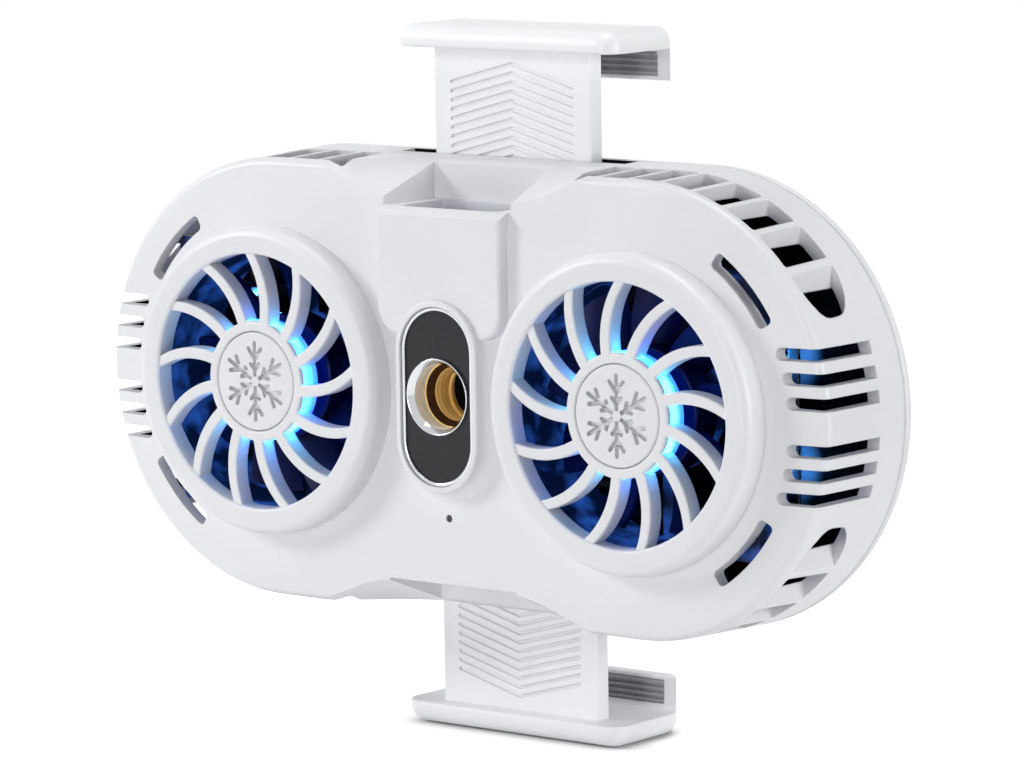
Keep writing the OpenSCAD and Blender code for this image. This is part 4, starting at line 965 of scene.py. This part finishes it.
blue_nylon = moulding("Nylon moulded blue", "123A9E", "1A4CC0", 0.45, 1.0)
black_nylon = moulding("Nylon moulded black", "101113", "1B1C1F", 0.5, 1.0)
gold = metal("Gold plating on contacts", "C8A24A", "E0BE6A", 0.3, 0.8)
print("finishes so far:", len(bpy.data.materials))

# %% [markdown]
# ## Ports: upper socket
# In the well above the panel sits a USB-A sized socket: a box with a blue tongue and four contacts
# in slots. The box is a prism with a smaller prism cut out of it.

# %% Upper socket
CONTACTS = (-3.5, -1.15, 1.15, 3.5)
can = prism(rect(-6.6, -17.0, 6.6, -11.2), "Z", 10, 24, [(0.5, ALL)])
room = prism(rect(-6.25, -16.65, 6.25, -11.55), "Z", 11.5, 25, [(0.3, ALL)])
piece("output_can", cut(can, room), "housing", [steel], ["output_socket"])

tongue = prism(rect(-5.6, -14.0, 5.6, -12.1), "Z", 11.6, 23.2, [(0.2, ALL)])
round_edges(tongue, 0.3, lambda p: p.z > 23.1, 2)
tongue = boolean(tongue, box((-6.2, -16.6, 11.5), (6.2, -11.6, 14.0)), "UNION")
slots = [box((x - 0.55, -14.6, 15), (x + 0.55, -13.85, 22.6)) for x in CONTACTS]
strip = rect(-13.98, 14.5, -13.86, 22.5)
contacts = gather(*[prism(strip, "X", x - 0.45, x + 0.45) for x in CONTACTS])
tongue = gather(cut(tongue, gather(*slots)), mark(contacts))
piece("output_tongue_block", tongue, "housing", [blue_nylon, gold],
      ["output_tongue"])

# %% [markdown]
# ## Ports: lower socket
# Below there is a small oval power socket with twelve fine contacts on a thin blade. It is made in
# the same way, with corners so round that the sides become half circles.

# %% Lower socket
FINE = [-2.75 + 0.5 * i for i in range(12)]  # places of the fine contacts
oval = prism(rect(-4.5, -14.4, 4.5, -11.2), "Z", -28, -20.6, [(1.59, ALL)], 8)
inner = prism(rect(-4.15, -14.05, 4.15, -11.55), "Z", -29, -21.6, [(1.24, ALL)], 8)
piece("input_can", cut(oval, inner), "housing", [steel], ["input_socket"])

blade = prism(rect(-3.2, -13.15, 3.2, -12.45), "Z", -27.2, -21.6, [(0.2, ALL)])
pads = gather(*[box((x - 0.12, -13.17, -26.9), (x + 0.12, -13.1, -23)) for x in FINE])
piece("input_tongue_blade", gather(blade, mark(pads)), "housing", [black_nylon, gold],
      ["input_tongue"])

# %% [markdown]
# ## Back: cold plate
# The phone lies on a brushed aluminium plate. Its edge is lightly broken, and the brushing runs
# along it: a noise that is stretched fifty times in that direction moves the tone, the gloss and
# the normal together.

# %% Cold plate
BRUSH = 0.3  # mm; brush lines are about 0.05 mm, drawn larger so that they show
brushed, tree, skin = start_finish("Aluminium brushed and anodised")
lines = noise(tree, BRUSH, 3.0, (0.02, 1.0, 1.0))
scratch = add(tree, "Bump", {"Height": lines, "Strength": 0.12, "Distance": 0.03 * MM})
feed(tree, skin, {"Base Color": ramp(tree, lines, "B4B6BA", "D2D4D7"), "Metallic": 1.0,
                  "Roughness": spread(tree, lines, 0.24, 0.42), "Normal": scratch.outputs[0]})

slab = prism(rect(-50, -20.5, 50, 20.5), "Y", -1.5, 0, [(4.0, ALL)], 8)
round_edges(slab, 0.25, lambda p: level(p, 0), 2)
piece("cold_plate_skin", slab, "housing", [brushed], ["cold_plate"])

# %% [markdown]
# ## Back: case screws
# Six cross-head screws hold the back cover. Each is a turned pan head on its shank, with a cross of
# two joined bars cut out of it.

# %% Case screws
HEAD_TOP, HEAD_FOOT = -0.4, -1.4
CROSS, BLADE = 0.95, 0.22  # half the length and half the width of the cross


def case_screw(x, z):
    head = turned([(0, HEAD_TOP), (1.9, HEAD_TOP), (1.9, HEAD_FOOT), (1.0, HEAD_FOOT),
                   (1.0, -8.9), (0, -8.9)], x, z, 32)
    round_edges(head, 0.45, lambda p: level(p, HEAD_TOP) and hypot(p.x - x, p.z - z) > 1.8, 4)
    cross = [box((x - a, -0.95, z - b), (x + a, 0.5, z + b))
             for a, b in ((CROSS, BLADE), (BLADE, CROSS))]
    return cut(head, boolean(*cross, "UNION"))


places = [(60.3, 0), (-60.3, 0), (24, 26.5), (-24, 26.5), (24, -26.5), (-24, -26.5)]
screws = gather(*[case_screw(x, z) for x, z in places])
piece("case_screw_set", screws, "housing", [steel], ["case_screws"])

# %% [markdown]
# ## Back cover
# The cover closes the tray from behind. Its form in the CAD model is already the real one, with its
# lip, its rails and its screw seats, so a merged copy is used. Only its inside gets the black painted
# shade, like the inside of the shell.

# %% Back cover
INSIDE = -2.45  # faces whose middle lies in front of this are inside
cover = bmesh.new()
cover.from_mesh(bpy.data.objects["rear_cover"].data)
bmesh.ops.scale(cover, vec=(1 / MM, 1 / MM, 1 / MM), verts=cover.verts)
# faces inside the cover take the second finish, the black painted shade
mark(tidy(cover), lambda m: m.y < INSIDE)
print("inner faces of the cover:", sum(face.material_index for face in cover.faces))
piece("rear_cover_skin", cover, "housing", [white_abs, painted_shade_black], ["rear_cover"])

# %% [markdown]
# ## What stays from the CAD model
# The fan frames, the sliding guide and the parts deep inside are right as they are, so they keep
# their meshes and only get finishes: copper wire, sintered bronze, laminated steel, circuit board and
# so on. The fan frames also get a painted blue glow in clouds about 5 mm wide, which stands in for
# the LED light behind them.

# %% Finishes of the inner parts
smoked = moulding("Polycarbonate smoked blue, painted blue glow", "05070F", "0A1124", 0.3, 4.0)
tree = smoked.node_tree
# emission in noise clouds: a painted glow, for the frame is no lamp
feed(tree, tree.nodes["Principled BSDF"],
     {"Emission Strength": spread(tree, noise(tree, 5.0, 2.0), 0.02, 0.4, 0.45, 0.72),
      "Emission Color": linear("3A7BFF"), "Specular IOR Level": 0.2})
board = moulding("Circuit board green lacquer", "0F4A2A", "17663A", 0.35, 1.6)
inner_finishes = {
    "guide_plate": moulding("Acetal moulded black", "0C0C0E", "151518", 0.5, 2.0),
    "fan_frame": smoked,
    "fan_bush": metal("Bronze sintered", "7A5630", "96703F", 0.5, 0.3),
    "motor_board": board,
    "main_board": board,
    "stator_core": metal("Steel laminated and varnished", "6E7074", "8A8C90", 0.4, 0.4),
    "stator_coils": metal("Copper wire enamelled", "8A3F1C", "B8622F", 0.32, 0.3),
    "magnet_ring": moulding("Ferrite bonded", "26262A", "34343A", 0.6, 0.5),
    "heat_sink": metal("Aluminium anodised black", "2A2C30", "3A3C41", 0.4, 0.5),
    "cooling_tile": moulding("Alumina ceramic", "E4E1D8", "EFECE4", 0.55, 0.6),
    "indicator_pipe": moulding("Acrylic light pipe", "1C1D20", "2A2C30", 0.2, 0.8),
    "sync_pinion": moulding("Acetal moulded natural", "D9D6CC", "E6E3DA", 0.38, 1.0),
    "fan_lead": moulding("PVC sleeve black", "141416", "202024", 0.45, 0.8),
    "tile_leads": moulding("Silicone sleeve red", "8E1F1A", "A82A22", 0.5, 0.8),
}
for name in ("rotor_shaft", "pinion_axle", "friction_washer", "fan_screws", "sink_screws",
             "guide_screws", "board_screws"):
    inner_finishes[name] = steel
print("kinds of inner part:", len(inner_finishes))

# %% [markdown]
# A node that still shows takes the finish of its own name, or of its name without left or right.
# The two stand-in finishes of the Boolean helper have done their work and are removed.

# %% Give the finishes to the inner parts
shown = {obj.name: obj for obj in scene.objects if obj.type == "MESH" and not obj.hide_render}
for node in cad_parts:
    finish = inner_finishes.get(node) or inner_finishes.get(node.rsplit("_", 1)[0])
    if node in shown and finish:
        for slot in shown[node].material_slots:
            slot.material = finish
for spare in two_sided:
    bpy.data.materials.remove(spare)
print("CAD nodes that still show:", sorted(set(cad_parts) & set(shown)))
